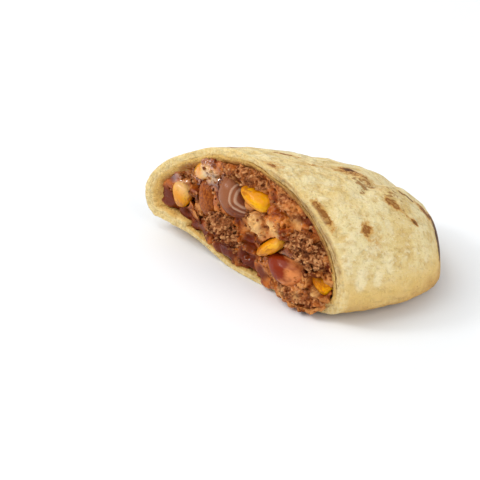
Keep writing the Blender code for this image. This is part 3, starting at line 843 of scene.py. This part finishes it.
def roughen(mesh, size, amount, phase, calm=None):
    """Pushes the points of a mesh in and out by noise of a size, less where calm is near 1."""
    points, normals = points_of(mesh), normals_of(mesh)
    push = np.array([lumpy(Vector(point) / size + phase) for point in points]) * amount
    if calm is not None:
        push *= 1 - calm
    set_points(mesh, points + normals * push[:, None])


def make_room(mesh, places):
    """Where a piece of the cut lies in front of a mesh, lets the mesh pass behind it."""
    points = points_of(mesh)
    out = np.array(OUT)
    for matrix, half in places:
        turned = np.array(matrix.inverted().to_3x3())
        local = (points - np.array(matrix.translation)) @ turned.T / (np.array(half) * NESTLE)
        way = turned @ out / (np.array(half) * NESTLE)
        square = way @ way
        middle = local @ way / square
        under = middle**2 - ((local**2).sum(axis=1) - 1) / square
        deepest = -middle - np.sqrt(np.maximum(under, 0))
        sink = np.where(under > 0, np.minimum(deepest, 0), 0)
        points += out * sink[:, None]
    set_points(mesh, points)


def tree_of(piece):
    bm = bmesh.new()
    bm.from_mesh(piece.data)
    tree = BVHTree.FromBMesh(bm)
    bm.free()
    return tree


def keep_inside(mesh, wall):
    """Pulls in what would stick through the wall of the wrap behind the cut."""
    points = points_of(mesh)
    for index, point in enumerate(points):
        point = Vector(point)
        across, out, up = cut_place(point)
        if out > (FREE_SPILL if across < SPILL_ACROSS[0] and up < SPILL_LEVELS[0] else FREE_FRONT):
            continue
        middle = Vector((max(point.x, -point.y * math.tan(CUT_SLANT) * 0.6), point.y * 0.55, CORE_LEVEL))
        way = point - middle
        hit = wall.ray_cast(middle, way.normalized(), way.length + WALL_GAP)[0]
        if hit:
            points[index] = hit - way.normalized() * WALL_GAP
    set_points(mesh, points)


def hold_back(mesh):
    """Flattens the lumps that stand far out of the cut, except where the filling spills over."""
    points = points_of(mesh)
    for index, point in enumerate(points):
        across, out, up = cut_place(Vector(point))
        past = out - filling_front(across, up) - PROUD
        if past > 0:
            spill = between(across, SPILL_ACROSS) * between(up, SPILL_LEVELS)
            points[index] -= np.array(OUT) * past * (1 - spill) * (1 - PROUD_SHARE)
    set_points(mesh, points)


def grain_places():
    """The (matrix, half sizes) of every corn grain and bean."""
    return [(frame_at(*seat[:3]), Vector(seat[3]) * MM / 2) for seat in KERNELS + BEANS]


def chunk_place(chunk):
    centre, long_axis, radii, _ = chunk
    return frame_at(centre, long_axis, (0, 0, 1)), Vector(radii) * MM


def stretched(size, limits, draw):
    """Three radii, each a random share of a size between two limits."""
    return [size * draw.uniform(low, high) for low, high in limits]


def across_up(points):
    """The (across, up) of each of some points."""
    return [(point @ np.array(ACROSS), point[2]) for point in points]


def grains_on(bm, matrix, radii, draw):
    """Covers a lump with grains of beef, and returns a tree of their places with the tint of each."""
    area = radii.x * radii.y + radii.y * radii.z + radii.x * radii.z
    count = int(GRAINS_PER_SQUARE * area / GRAIN_SPACING**2)
    seeds = KDTree(count)
    tints = []
    for index in range(count):
        level = 1 - 2 * (index + 0.5) / count
        turn = index * GOLDEN_TURN + draw.uniform(-0.25, 0.25)
        flat = math.sqrt(1 - level * level)
        way = Vector((flat * math.cos(turn), flat * math.sin(turn), level))
        reach = draw.uniform(0.84, 0.95)
        spot = matrix @ Vector((way.x * radii.x, way.y * radii.y, way.z * radii.z)).lerp(Vector(), 1 - reach)
        size = GRAIN_RADIUS * draw.uniform(0.55, 1.25)
        grain = stretched(size, GRAIN_STRETCH, draw)
        ball(bm, spot, grain, spun(draw), GRAIN_ROUGH, Vector((draw.uniform(0, 90), 0, index)), 2)
        seeds.insert(spot, index)
        tints.append(draw.random())
    seeds.balance()
    return seeds, tints


def make_chunk(number, chunk, places, wall):
    """A lump of minced beef: many grains run together, more or less smoothed over by sauce."""
    matrix, radii = chunk_place(chunk)
    coat = chunk[3]
    bm = bmesh.new()
    phase = Vector((number * 4.7, number * 1.9, 0.6))
    ball(bm, matrix.translation, radii * CHUNK_BODY, matrix.to_3x3(), 0.24, phase, 4)
    seeds, tints = grains_on(bm, matrix, radii, random.Random(SEED + number))
    piece = remeshed(bm, CHUNK_VOXEL, f"beef_lump_{number}")
    mesh = piece.data
    edges = edges_of(mesh)
    points = points_of(mesh)
    smooth = averaged(points, edges, round(2 + 8 * coat))
    set_points(mesh, points + (smooth - points) * min(0.7 + coat, 1))
    roughen(mesh, CHUNK_RELIEF_SIZE, CHUNK_RELIEF * (1 - coat), Vector((number, 0, 0)))
    make_room(mesh, places)
    keep_inside(mesh, wall)
    nearest = np.array([tints[seeds.find(point)[1]] for point in points])
    paint_values(mesh, "tint", averaged(nearest, edges, 2))
    paint_values(mesh, "coat", np.full(len(points), coat))
    paint_values(mesh, "pool", [sauce_at(across, up)[2] for across, up in across_up(points)])
    paint_values(mesh, "glaze", [glaze_at(across, up) for across, up in across_up(points)])
    paint_hollows(mesh)
    return piece


def room_inside(across, up):
    """About how far a point of the cut lies inside the filling's outline."""
    side = across * math.cos(CUT_SLANT) / (HALF_WIDTH - 2 * SHEET)
    if abs(side) >= 1:
        return -1.0
    if up >= WIDEST_LEVEL:
        tall = HEIGHT * (1 - SIDE_THINNING * side) - WIDEST_LEVEL - 2 * SHEET
        share = abs(side) ** TOP_POWER + ((up - WIDEST_LEVEL) / tall) ** TOP_POWER
    else:
        tall = WIDEST_LEVEL - SHEET - underside(0, across * math.cos(CUT_SLANT))
        share = abs(side) ** BOTTOM_POWER + ((WIDEST_LEVEL - up) / tall) ** BOTTOM_POWER
    return (1 - share) * tall / 2


def sauce_at(across, up):
    """(how far the sauce sinks the filling, how smoothly it coats it, its tone) at a point of the cut."""
    sink, smooth, dark = 0.0, 0.0, 0.0
    for (middle_across, middle_up), radius, depth, coat, tone in POOLS:
        away = math.hypot(across / MM - middle_across, up / MM - middle_up) / radius
        share = math.exp(-away * away * POOL_FALL)
        sink += depth * MM * share
        smooth = max(smooth, coat * share)
        dark = max(dark, tone * share, key=abs)
    return sink, smooth, dark


def glaze_at(across, up):
    """1 where the sauce is wettest, 0 where it is dull."""
    wettest = 0.0
    for (middle_across, middle_up), radius in GLAZED:
        away = math.hypot(across / MM - middle_across, up / MM - middle_up) / radius
        wettest = max(wettest, math.exp(-(away**2)))
    return wettest


def roll_core():
    """A closed body of the roll's inside, from well in front of the cut to the folded end."""
    length = HOLLOW_LENGTH - CORE_INSET
    bm = bmesh.new()
    bmesh.ops.create_grid(bm, x_segments=CORE_AROUND, y_segments=CORE_ROWS, size=0.5)
    for vertex in bm.verts:
        angle = math.tau * (vertex.co.x + 0.5)
        share = math.sin(math.pi / 2 * (vertex.co.y + 0.5)) ** 0.9
        x = CORE_START + (length - CORE_START) * share
        vertex.co = section_point(x, angle, inner_inset(angle) + CORE_INSET, length)
    bmesh.ops.remove_doubles(bm, verts=bm.verts, dist=MERGE)
    bmesh.ops.holes_fill(bm, edges=[edge for edge in bm.edges if edge.is_boundary])
    bmesh.ops.recalc_face_normals(bm, faces=bm.faces)
    bmesh.ops.triangulate(bm, faces=bm.faces)
    return bm


def cut_slab(bm, nearest, farthest=None):
    """Keeps what lies behind nearest and, where given, in front of farthest, measured out from the cut."""
    sides = [(nearest, OUT)] + ([(farthest, -OUT)] if farthest is not None else [])
    for out, normal in sides:
        parts = bm.verts[:] + bm.edges[:] + bm.faces[:]
        made = bmesh.ops.bisect_plane(bm, geom=parts, plane_co=OUT * out, plane_no=normal, clear_outer=True)
        rim = [item for item in made["geom_cut"] if isinstance(item, bmesh.types.BMEdge)]
        bmesh.ops.contextual_create(bm, geom=rim)


def make_core():
    """The filling behind its face, out to the folded end."""
    bm = roll_core()
    cut_slab(bm, CORE_FRONT)
    bmesh.ops.recalc_face_normals(bm, faces=bm.faces)
    piece = finished_object("filling_core", bm)
    count = len(piece.data.vertices)
    # A hollow of 0.6 gives the hidden core a little painted shade.
    for name, value in (("tint", 0.4), ("coat", 0.7), ("pool", 0.8), ("hollow", 0.6)):
        paint_values(piece.data, name, np.full(count, value))
    return piece


def crumb_fits(across, up, radius, placed):
    """Whether a crumb lies inside the wrap and clear of those placed before."""
    thick, thin = WALL_OVERLAP
    overlap = thick + (thin - thick) * between(across, WALL_OVERLAP_ACROSS)
    if room_inside(across, up) < radius * overlap:
        return False
    return all(math.hypot(across - a, up - u) >= (radius + r) * CRUMB_SPACING for a, u, r, _ in placed)


def crumbs_on_face(bm, draw):
    """Packs crumbs over the face, large ones first, and returns the (across, up, radius, tint) of each."""
    placed = []
    smallest, largest = CRUMB_RADII
    way_out = OUT.to_track_quat("Z", "Y").to_matrix()
    for attempt in range(CRUMB_TRIES):
        radius = largest - (largest - smallest) * (attempt / CRUMB_TRIES) ** 0.6
        across, up = draw.uniform(*CUT_SPAN), draw.uniform(*CUT_LEVELS)
        if not crumb_fits(across, up, radius, placed):
            continue
        placed.append((across, up, radius, draw.random()))
        sunk = sauce_at(across, up)[0]
        out = filling_front(across, up) + CRUMB_SEAT - sunk - radius * draw.uniform(0.35, 0.8)
        crumb = stretched(radius, CRUMB_STRETCH, draw)
        turn = spun(draw)
        phase = Vector((draw.uniform(0, 90), 0, attempt * 0.7))
        ball(bm, on_cut(across, out, up), crumb, turn, CRUMB_ROUGH, phase, 3)
        root = [radius * 0.9, radius * 0.9, CRUMB_ROOT]
        ball(bm, on_cut(across, out - CRUMB_ROOT_DEPTH, up), root, way_out, 0.2, Vector(), 2)
    return placed


def spilled_lumps(bm, draw):
    """Adds the lumps that have spilled over the wrap, and returns the same of each."""
    placed = []
    for number, ((across, out, up), radius) in enumerate(SPILLED):
        lump = Vector((radius * 1.15, radius * 0.9, radius * 0.9)) * MM
        ball(bm, on_cut(across, out, up) * MM, lump, spun(draw), 0.4, Vector((number * 3.3, 5, 1)), 3)
        placed.append((across * MM, up * MM, radius * MM, draw.random()))
    return placed


def flow(mesh, coat):
    """Lets sauce smooth a mesh over, most where it coats it most."""
    points = points_of(mesh)
    edges = edges_of(mesh)
    soft = averaged(points, edges, 3)
    flowing = averaged(soft, edges, 14)
    points = points + (soft - points) * (0.3 + 0.7 * coat[:, None])
    points = points + (flowing - points) * (0.9 * np.clip(coat * 2 - 0.9, 0, 1))[:, None]
    set_points(mesh, points)


def crumb_tints(places, placed):
    """The tint of the nearest crumb at each (across, up)."""
    seeds = KDTree(len(placed))
    for index, (across, up, _, _) in enumerate(placed):
        seeds.insert((across, up, 0), index)
    seeds.balance()
    return np.array([placed[seeds.find((across, up, 0))[1]][3] for across, up in places])


def make_face(places, chunk_places, wall):
    """The face of the filling: a slab with crumbs run together on it, sunk where sauce pools."""
    bm = roll_core()
    cut_slab(bm, FACE_FRONT, FACE_FRONT - FACE_THICKNESS)
    draw = random.Random(SEED)
    placed = crumbs_on_face(bm, draw) + spilled_lumps(bm, draw)
    piece = remeshed(bm, FACE_VOXEL, "filling_face")
    mesh = piece.data
    flat = across_up(points_of(mesh))
    coat, dark = np.array([sauce_at(across, up)[1:] for across, up in flat]).T
    patchy = np.array([noise.noise(Vector((across, up, 0.003)) / COAT_PATCH) for across, up in flat])
    coat = np.clip(coat + 0.22 + 0.45 * patchy, 0, 1)
    flow(mesh, coat)
    roughen(mesh, FACE_RELIEF_SIZE, FACE_RELIEF, Vector((5, 1, 2)), calm=coat)
    hold_back(mesh)
    make_room(mesh, places + chunk_places)
    keep_inside(mesh, wall)
    points = points_of(mesh)
    points[:, 2] = np.maximum(points[:, 2], FACE_LOWEST)
    set_points(mesh, points)
    paint_values(mesh, "tint", averaged(crumb_tints(flat, placed), edges_of(mesh), 2))
    paint_values(mesh, "coat", coat)
    paint_values(mesh, "pool", dark)
    paint_values(mesh, "glaze", [glaze_at(across, up) for across, up in flat])
    paint_hollows(mesh)
    return piece


def make_loose_crumbs(ground):
    """Fine crumbs of beef lying on the cut, each a small rough ball resting on what is under it."""
    trees = [tree_of(piece) for piece in ground]
    draw = random.Random(SEED + 100)
    bm = bmesh.new()
    tint = bm.verts.layers.float.new("tint")
    made = 0
    while made < LOOSE_CRUMBS:
        across, up = draw.uniform(*LOOSE_SPAN), draw.uniform(*LOOSE_LEVELS)
        if room_inside(across, up) < LOOSE_ROOM or sauce_at(across, up)[1] > SMOOTH_SAUCE:
            continue
        start = on_cut(across, FROM_FRONT, up)
        hits = [tree.ray_cast(start, -OUT)[0] for tree in trees]
        hits = [hit.dot(OUT) for hit in hits if hit]
        if not hits:
            continue
        radius = draw.uniform(*LOOSE_RADII)
        before = len(bm.verts)
        crumb = stretched(radius, LOOSE_STRETCH, draw)
        spot = on_cut(across, max(hits) + radius * 0.1, up)
        ball(bm, spot, crumb, spun(draw), LOOSE_ROUGH, Vector((made, 3, 1)), 2)
        bm.verts.ensure_lookup_table()
        shade = draw.random()
        for index in range(before, len(bm.verts)):
            bm.verts[index][tint] = shade
        made += 1
    bmesh.ops.recalc_face_normals(bm, faces=bm.faces)
    piece = finished_object("beef_crumbs", bm)
    count = len(piece.data.vertices)
    paint_values(piece.data, "coat", np.full(count, 0.15))
    # A hollow of 0.45 counts every loose crumb as a ridge, with a touch of painted highlight.
    paint_values(piece.data, "hollow", np.full(count, 0.45))
    return piece


def screen(red, green, blue):
    """A colour as it looks on a screen, from 0 to 255, as the linear colour that a shader takes."""
    linear = []
    for value in (red, green, blue):
        share = value / 255
        linear.append(share / 12.92 if share <= 0.04045 else ((share + 0.055) / 1.055) ** 2.4)
    return (*linear, 1)


class Value:
    """A socket in a sum of shader values. Each operator adds one Math node."""

    def __init__(self, finish, socket):
        self.finish = finish
        self.socket = socket

    def math(self, operation, first, second):
        return self.finish.node("ShaderNodeMath", {"operation": operation}, {0: first, 1: second})

    def __add__(self, other):
        return self.math("ADD", self, other)

    __radd__ = __add__

    def __sub__(self, other):
        return self.math("SUBTRACT", self, other)

    def __rsub__(self, other):
        return self.math("SUBTRACT", other, self)

    def __mul__(self, other):
        return self.math("MULTIPLY", self, other)

    __rmul__ = __mul__

    def output(self, name):
        return Value(self.finish, self.socket.node.outputs[name])

    def between(self, low, high):
        """0 below low, 1 above high, and smooth in between. With low above high it falls instead."""
        settings = {"interpolation_type": "SMOOTHSTEP"}
        ends = {1: low, 2: high, 3: 0.0, 4: 1.0} if low <= high else {1: high, 2: low, 3: 1.0, 4: 0.0}
        return self.finish.node("ShaderNodeMapRange", settings, {0: self, **ends})


class Finish:
    """A material and the nodes that it is made of."""

    def __init__(self, name, **constants):
        self.material = bpy.data.materials.new(name)
        self.material.use_nodes = True
        self.tree = self.material.node_tree
        self.shader = self.tree.nodes["Principled BSDF"]
        for socket, value in constants.items():
            self.shader.inputs[socket.replace("_", " ").title().replace("Ior", "IOR")].default_value = value

    def node(self, kind, settings, values, out=0):
        """Adds a node: its settings first, then the values or links of its sockets."""
        made = self.tree.nodes.new(kind)
        for name, setting in settings.items():
            setattr(made, name, setting)
        for key, value in values.items():
            socket = made.inputs[key]
            if isinstance(value, Value):
                self.tree.links.new(value.socket, socket)
            else:
                socket.default_value = value
        return Value(self, made.outputs[out])

    def place(self, stretch=(1, 1, 1)):
        """Object coordinates, stretched."""
        coordinates = self.node("ShaderNodeTexCoord", {}, {}, "Object")
        return self.node("ShaderNodeMapping", {}, {"Vector": coordinates, "Scale": stretch})

    def noise(self, scale, detail=3, roughness=0.5, stretch=(1, 1, 1), where=None):
        values = {"Scale": scale, "Detail": detail, "Roughness": roughness}
        return self.node("ShaderNodeTexNoise", {}, {"Vector": where or self.place(stretch), **values})

    def number(self, name):
        return self.node("ShaderNodeAttribute", {"attribute_name": name}, {}, "Fac")

    def four(self, name):
        """The four channels of a painted colour."""
        attribute = self.node("ShaderNodeAttribute", {"attribute_name": name}, {}, "Color")
        split = self.node("ShaderNodeSeparateColor", {}, {0: attribute})
        return split, split.output("Green"), split.output("Blue"), attribute.output("Alpha")

    def mix(self, share, first, second):
        """A colour between two others."""
        return self.node("ShaderNodeMix", {"data_type": "RGBA"}, {0: share, 6: first, 7: second}, 2)

    def bump(self, height, strength, distance, under=None):
        values = {"Height": height, "Strength": strength, "Distance": distance}
        if under:
            values["Normal"] = under
        return self.node("ShaderNodeBump", {}, values, "Normal")

    def wear(self, **sockets):
        """Links values to the shader's sockets."""
        for name, value in sockets.items():
            self.tree.links.new(value.socket, self.shader.inputs[name.replace("_", " ").title()])


def dough_finish():
    """Flour dough: cream on top, golden below and darker tan at the very bottom partly as painted shade, with
    blisters, toasted spots and a layered cut edge.
    """
    finish = Finish("toasted_dough", specular_ior_level=0.22, subsurface_weight=0.05)
    finish.shader.inputs["Subsurface Radius"].default_value = (0.0030, 0.0018, 0.0008)
    finish.shader.inputs["Subsurface Scale"].default_value = 1.0
    toast, char, golden, blister = finish.four("bake")
    edge, stain, groove, inside = finish.four("cut")
    speck = finish.number("speck")
    broad = finish.noise(60, 3, 0.55)
    mottle = finish.noise(280, 4, 0.6)
    fine = finish.noise(760, 5, 0.68)
    fleck_and_glint = finish.noise(1250, 2, 0.6)
    streak = finish.noise(400, 3, 0.6, stretch=(0.20, 1, 1))
    # Cream dough, mottled and flecked, with partly painted highlights on raised places and flecks, golden low
    # down and darker tan at the very bottom, partly painted shade.
    colour = finish.mix(broad.between(0.38, 0.64), screen(235, 216, 161), screen(228, 202, 137))
    # Partly painted highlight and shade: mottle, streak and fine noise also raise the bump below, so their
    # pale parts sit on raised places and their dark parts in dips.
    colour = finish.mix(mottle.between(0.47, 0.68) * 0.70, colour, screen(240, 224, 178))
    colour = finish.mix(mottle.between(0.53, 0.32) * 0.75, colour, screen(206, 170, 102))
    colour = finish.mix(streak.between(0.52, 0.70) * 0.45, colour, screen(241, 227, 188))
    colour = finish.mix(fine.between(0.46, 0.28) * 0.60, colour, screen(190, 150, 86))
    colour = finish.mix(fine.between(0.56, 0.72) * 0.50, colour, screen(246, 234, 200))
    # Partly painted glints: the pale flecks stand in for small highlights, beside real tan flecks.
    colour = finish.mix(fleck_and_glint.between(0.60, 0.70) * 0.40, colour, screen(250, 240, 212))
    colour = finish.mix(fleck_and_glint.between(0.38, 0.30) * 0.28, colour, screen(180, 138, 74))
    low = golden + (broad - 0.5) * 0.9 + (mottle - 0.5) * 0.5
    colour = finish.mix(low.between(-0.05, 0.65) * 0.75, colour, screen(228, 190, 112))
    # Partly painted shade: the lowest dough darkens to tan.
    colour = finish.mix(low.between(0.55, 1.10) * 0.85, colour, screen(198, 148, 76))
    colour = finish.mix(blister * mottle.between(0.30, 0.55) * 0.70, colour, screen(246, 230, 186))
    # Toasted spots: tan outside, brown inside and nearly black in the middle, and fine specks.
    baked = toast + (fine - 0.5) * 1.1 + (mottle - 0.5) * 0.6
    colour = finish.mix(baked.between(0.18, 0.46) * 0.90, colour, screen(206, 154, 76))
    brown = baked.between(0.44, 0.58) * (1 - baked.between(0.64, 0.90) * 0.65)
    colour = finish.mix(brown * 0.90, colour, screen(140, 80, 24))
    burnt = (char + (fine - 0.5) * 0.9).between(0.26, 0.50)
    colour = finish.mix(burnt * 0.92, colour, screen(74, 36, 10))
    freckle = finish.noise(620, 3, 0.6, stretch=(0.55, 1, 1))
    specks = (freckle + speck * 0.30).between(0.70, 0.78)
    colour = finish.mix(specks * 0.80, colour, screen(160, 106, 46))
    # The cut edge, stained by the filling, with painted shade in the slit and in sunk layers, and the inside.
    tones = finish.mix(fine.between(0.35, 0.68), screen(232, 200, 130), screen(246, 222, 164))
    colour = finish.mix(edge, colour, tones)
    wet = stain + (fine - 0.5) * 0.30 + (mottle - 0.5) * 0.3
    colour = finish.mix(wet.between(0.10, 0.62) * 0.85, colour, screen(222, 174, 86))
    colour = finish.mix(wet.between(0.62, 1.15) * 0.9, colour, screen(164, 98, 34))
    colour = finish.mix(inside * 0.75, colour, screen(112, 50, 14))
    # Painted shade: the slit and sunk layers of the cut edge darkened brown.
    colour = finish.mix(groove * 0.80, colour, screen(146, 94, 42))
    roughness = 0.64 - 0.22 * stain + 0.1 * (fine - 0.5)
    relief = finish.bump(finish.noise(1500, 3, 0.6), 0.35, 0.00025)
    relief = finish.bump(mottle + streak * 0.30 + fine * 0.12 + speck * freckle * 0.6, 1.0, 0.00300, relief)
    finish.wear(base_color=colour, roughness=roughness, normal=relief)
    return finish.material


def meat_finish(name, light, middle, dark):
    """Minced beef in sauce: grains of several browns, wet where coated, redder and darker in hollows as
    painted shade, and paler on ridges as partly painted highlight.
    """
    finish = Finish(name, specular_ior_level=0.12, specular_tint=(1, 0.72, 0.5, 1), coat_roughness=0.05)
    finish.shader.inputs["Coat IOR"].default_value = 2.5
    tint, coat, hollow = finish.number("tint"), finish.number("coat"), finish.number("hollow")
    pool, glaze = finish.number("pool"), finish.number("glaze")
    fine = finish.noise(1500, 3, 0.65)
    cloud = finish.noise(300, 3, 0.55)
    broad = finish.noise(150, 2, 0.5)
    shade = tint * 0.40 + cloud * 0.6 + (fine - 0.5) * 0.7
    colour = finish.mix(shade.between(0.25, 0.50), dark, middle)
    # Partly painted highlight: the pale grain tone is kept off the hollows and onto the ridges.
    colour = finish.mix((shade - hollow * 0.5).between(0.20, 0.62), colour, light)
    sauce = finish.mix((cloud + broad * 0.8).between(0.72, 1.05), screen(138, 54, 4), screen(200, 106, 28))
    sauce = finish.mix((fine * 0.6 + broad * 0.8).between(0.74, 0.90) * 0.6, sauce, screen(214, 140, 64))
    sauce = finish.mix((cloud * 0.8 - pool - 0.4).between(0.05, 0.60) * 0.95, sauce, screen(236, 186, 116))
    coated = (coat + (cloud - 0.5) * 0.9 + hollow * 0.2).between(0.20, 0.85)
    colour = finish.mix(coated * 0.92, colour, sauce)
    # Partly painted shade: the dark sauce tone reaches further into the hollows.
    pooled = (pool + (hollow - 0.5) * 0.5 + (cloud - 0.5) * 0.7).between(0.22, 0.80)
    colour = finish.mix(pooled * 0.92, colour, screen(96, 22, 0))
    # Painted shade: the hollows darkened nearly to black.
    deep = hollow.between(0.56, 0.92) * (0.45 + 0.5 * cloud.between(0.6, 0.4))
    colour = finish.mix(deep, colour, screen(58, 15, 2))
    relief = finish.bump(fine * (1 - 0.7 * coated), 0.35, 0.00020)
    roughness = 0.52 - 0.24 * coated + 0.15 * (fine - 0.5)
    shine = (0.01 + 0.07 * coated + 0.9 * glaze) * hollow.between(0.72, 0.42)
    finish.wear(base_color=colour, roughness=roughness, coat_weight=shine, normal=relief)
    return finish.material


def corn_finish(pale, wet, sauced):
    """Sweetcorn: a shiny yellow skin, paler at the crown partly as painted sheen, with sauce caught round its
    foot.
    """
    finish = Finish("sweetcorn_skin", roughness=0.36, specular_ior_level=0.1, coat_roughness=0.08)
    finish.shader.inputs["Coat Weight"].default_value = wet
    finish.shader.inputs["Specular Tint"].default_value = (1, 0.82, 0.4, 1)
    finish.shader.inputs["Coat IOR"].default_value = 1.8
    finish.shader.inputs["Subsurface Weight"].default_value = 0.10
    finish.shader.inputs["Subsurface Radius"].default_value = (0.0016, 0.0008, 0.0001)
    finish.shader.inputs["Subsurface Scale"].default_value = 1.0
    own = finish.node("ShaderNodeAttribute", {"attribute_name": "own"}, {}, "Vector")
    cloud = finish.noise(1.6, 3, 0.5, where=own)
    smear = finish.noise(3.0, 4, 0.6, where=own)
    lengthwise = finish.node("ShaderNodeSeparateXYZ", {}, {0: own})
    colour = finish.mix(cloud.between(0.35, 0.65), screen(226, 144, 0), screen(238, 172, 2))
    # Partly painted sheen: paler towards the crown end.
    colour = finish.mix(lengthwise.between(0.0, 0.9) * pale, colour, screen(232, 200, 148))
    foot = (smear - lengthwise * 0.16 + sauced).between(0.46, 0.68)
    colour = finish.mix(foot * 0.80, colour, screen(176, 88, 18))
    finish.wear(base_color=colour, normal=finish.bump(smear, 0.2, 0.0004))
    return finish.material


def bean_finish(name, skin, end_tone, smear_share):
    """A bean: a shiny skin with a second tone towards one end, pale folds and some sauce on it."""
    finish = Finish(name, roughness=0.38, specular_ior_level=0.12, coat_roughness=0.12, coat_weight=0.16)
    finish.shader.inputs["Specular Tint"].default_value = (1, 0.72, 0.55, 1)
    own = finish.node("ShaderNodeAttribute", {"attribute_name": "own"}, {}, "Vector")
    cloud = finish.noise(1.3, 3, 0.5, where=own)
    smear = finish.noise(2.6, 4, 0.6, where=own)
    grain = finish.noise(9.0, 3, 0.6, where=own)
    lengthwise = finish.node("ShaderNodeSeparateXYZ", {}, {0: own})
    # Towards one end the skin takes the end tone, on the red bean partly a painted highlight.
    colour = finish.mix((cloud + lengthwise * 0.22).between(0.42, 0.70), skin, end_tone)
    colour = finish.mix(finish.number("fold").between(0.30, 1.0) * 0.75, colour, screen(208, 170, 142))
    smeared = (smear + (grain - 0.5) * 0.2).between(0.66 - smear_share * 0.4, 0.80 - smear_share * 0.4)
    sauce = finish.mix(grain.between(0.4, 0.6), screen(120, 50, 10), screen(172, 92, 30))
    colour = finish.mix(smeared * 0.9, colour, sauce)
    relief = finish.bump(smear + smeared * 0.5, 0.35, 0.0005)
    finish.wear(base_color=colour, normal=relief)
    return finish.material


def plain_finish(name, colour, roughness):
    return Finish(name, roughness=roughness, base_color=colour).material


def dress(piece, material, slot, *nodes):
    """Gives a piece its finish and makes it stand for nodes of the model."""
    piece.data.materials.clear()
    piece.data.materials.append(material)
    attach(piece, "root")
    if nodes:
        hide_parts(*nodes)


def onto_model(pieces, wrap):
    """Moves the pieces from the roll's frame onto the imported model, and returns the move."""
    low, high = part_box("tortilla")
    ours = points_of(wrap.data)
    middle_y = (ours[:, 1].min() + ours[:, 1].max()) / 2
    move = Vector((high[0] - HALF_LENGTH, (low[1] + high[1]) / 2 - middle_y, 0))
    for piece in pieces:
        piece.data.transform(Matrix.Translation(move))
    return move


def add_camera(move):
    """The camera, turned a little left of and below the roll's middle."""
    right = CAMERA_RIGHT.normalized()
    back = CAMERA_BACK.normalized()
    up = back.cross(right)
    back = (back + right * CAMERA_TURN[0] + up * CAMERA_TURN[1]).normalized()
    right = up.cross(back).normalized()
    up = back.cross(right)
    data = bpy.data.cameras.new("camera")
    data.lens = LENS
    camera = bpy.data.objects.new("camera", data)
    turned = Matrix((right, up, back)).transposed().to_4x4()
    camera.matrix_world = Matrix.Translation(CAMERA_PLACE + move) @ turned
    bpy.context.scene.collection.objects.link(camera)
    bpy.context.scene.camera = camera


def add_light(name, place, size, power, colour):
    """A soft square light that faces the roll."""
    data = bpy.data.lights.new(name, "AREA")
    data.size = size
    data.energy = power
    data.color = colour
    light = bpy.data.objects.new(name, data)
    turned = Vector(place).to_track_quat("Z", "Y").to_matrix().to_4x4()
    light.matrix_world = Matrix.Translation(place) @ turned
    bpy.context.scene.collection.objects.link(light)


def add_studio():
    """A pale floor under soft white light."""
    bm = bmesh.new()
    bmesh.ops.create_grid(bm, x_segments=1, y_segments=1, size=FLOOR_HALF)
    floor = finished_object("studio_floor", bm)
    floor.data.materials.append(plain_finish("pale_floor", FLOOR_COLOUR, 0.9))
    world = bpy.data.worlds.new("studio_air")
    world.use_nodes = True
    world.node_tree.nodes["Background"].inputs["Color"].default_value = (1, 1, 1, 1)
    world.node_tree.nodes["Background"].inputs["Strength"].default_value = AIR
    bpy.context.scene.world = world
    bpy.context.scene.view_settings.view_transform = "Standard"
    for name, light in LIGHTS.items():
        add_light(name, *light)


def main():
    wrap = make_wrap()
    grains = grain_places()
    chunk_shapes = [chunk_place(chunk) for chunk in CHUNKS]
    kernels = [
        make_grain(f"corn_grain_{number}", kernel_place, seat, KERNEL_UNEVEN, number * 3.1)
        for number, seat in enumerate(KERNELS, 1)
    ]
    beans = [
        make_grain(f"bean_seed_{number}", bean_place, seat, BEAN_UNEVEN, number * 5.3, folded=number == 1)
        for number, seat in enumerate(BEANS, 1)
    ]
    wall = tree_of(wrap)
    chunks = [make_chunk(number, chunk, grains, wall) for number, chunk in enumerate(CHUNKS, 1)]
    core = make_core()
    face = make_face(grains, chunk_shapes, wall)
    crumbs = make_loose_crumbs([face] + chunks)
    move = onto_model([wrap, core, face, crumbs] + kernels + beans + chunks, wrap)

    # The first colour of each beef finish is its pale grain tone, painted on ridges partly as highlight.
    beef = meat_finish("minced_beef", screen(208, 152, 100), screen(154, 90, 48), screen(88, 42, 16))
    mass = meat_finish("beef_in_sauce", screen(206, 140, 78), screen(162, 86, 32), screen(98, 40, 10))
    dress(wrap, dough_finish(), "tortilla", "tortilla")
    dress(core, mass, "filling", "filling")
    dress(face, mass, "filling", "filling")
    dress(crumbs, beef, "minced_beef")
    for number, (kernel, skin) in enumerate(zip(kernels, KERNEL_SKINS), 1):
        dress(kernel, corn_finish(*skin), "sweetcorn", f"corn_kernel_{number}")
    bean_skins = (
        bean_finish("split_bean_skin", screen(146, 88, 56), screen(118, 58, 34), 0.25),
        # Partly painted highlight: the red bean's lighter orange end tone.
        bean_finish("red_bean_skin", screen(132, 40, 6), screen(222, 138, 78), 0.25),
        bean_finish("coated_bean_skin", screen(168, 88, 28), screen(138, 66, 16), 0.85),
    )
    for number, (bean, skin) in enumerate(zip(beans, bean_skins), 1):
        dress(bean, skin, "bean", f"bean_{number}")
    for number, chunk in enumerate(chunks, 1):
        dress(chunk, beef, "minced_beef", f"meat_chunk_{number}")

    add_camera(move)
    add_studio()


main()
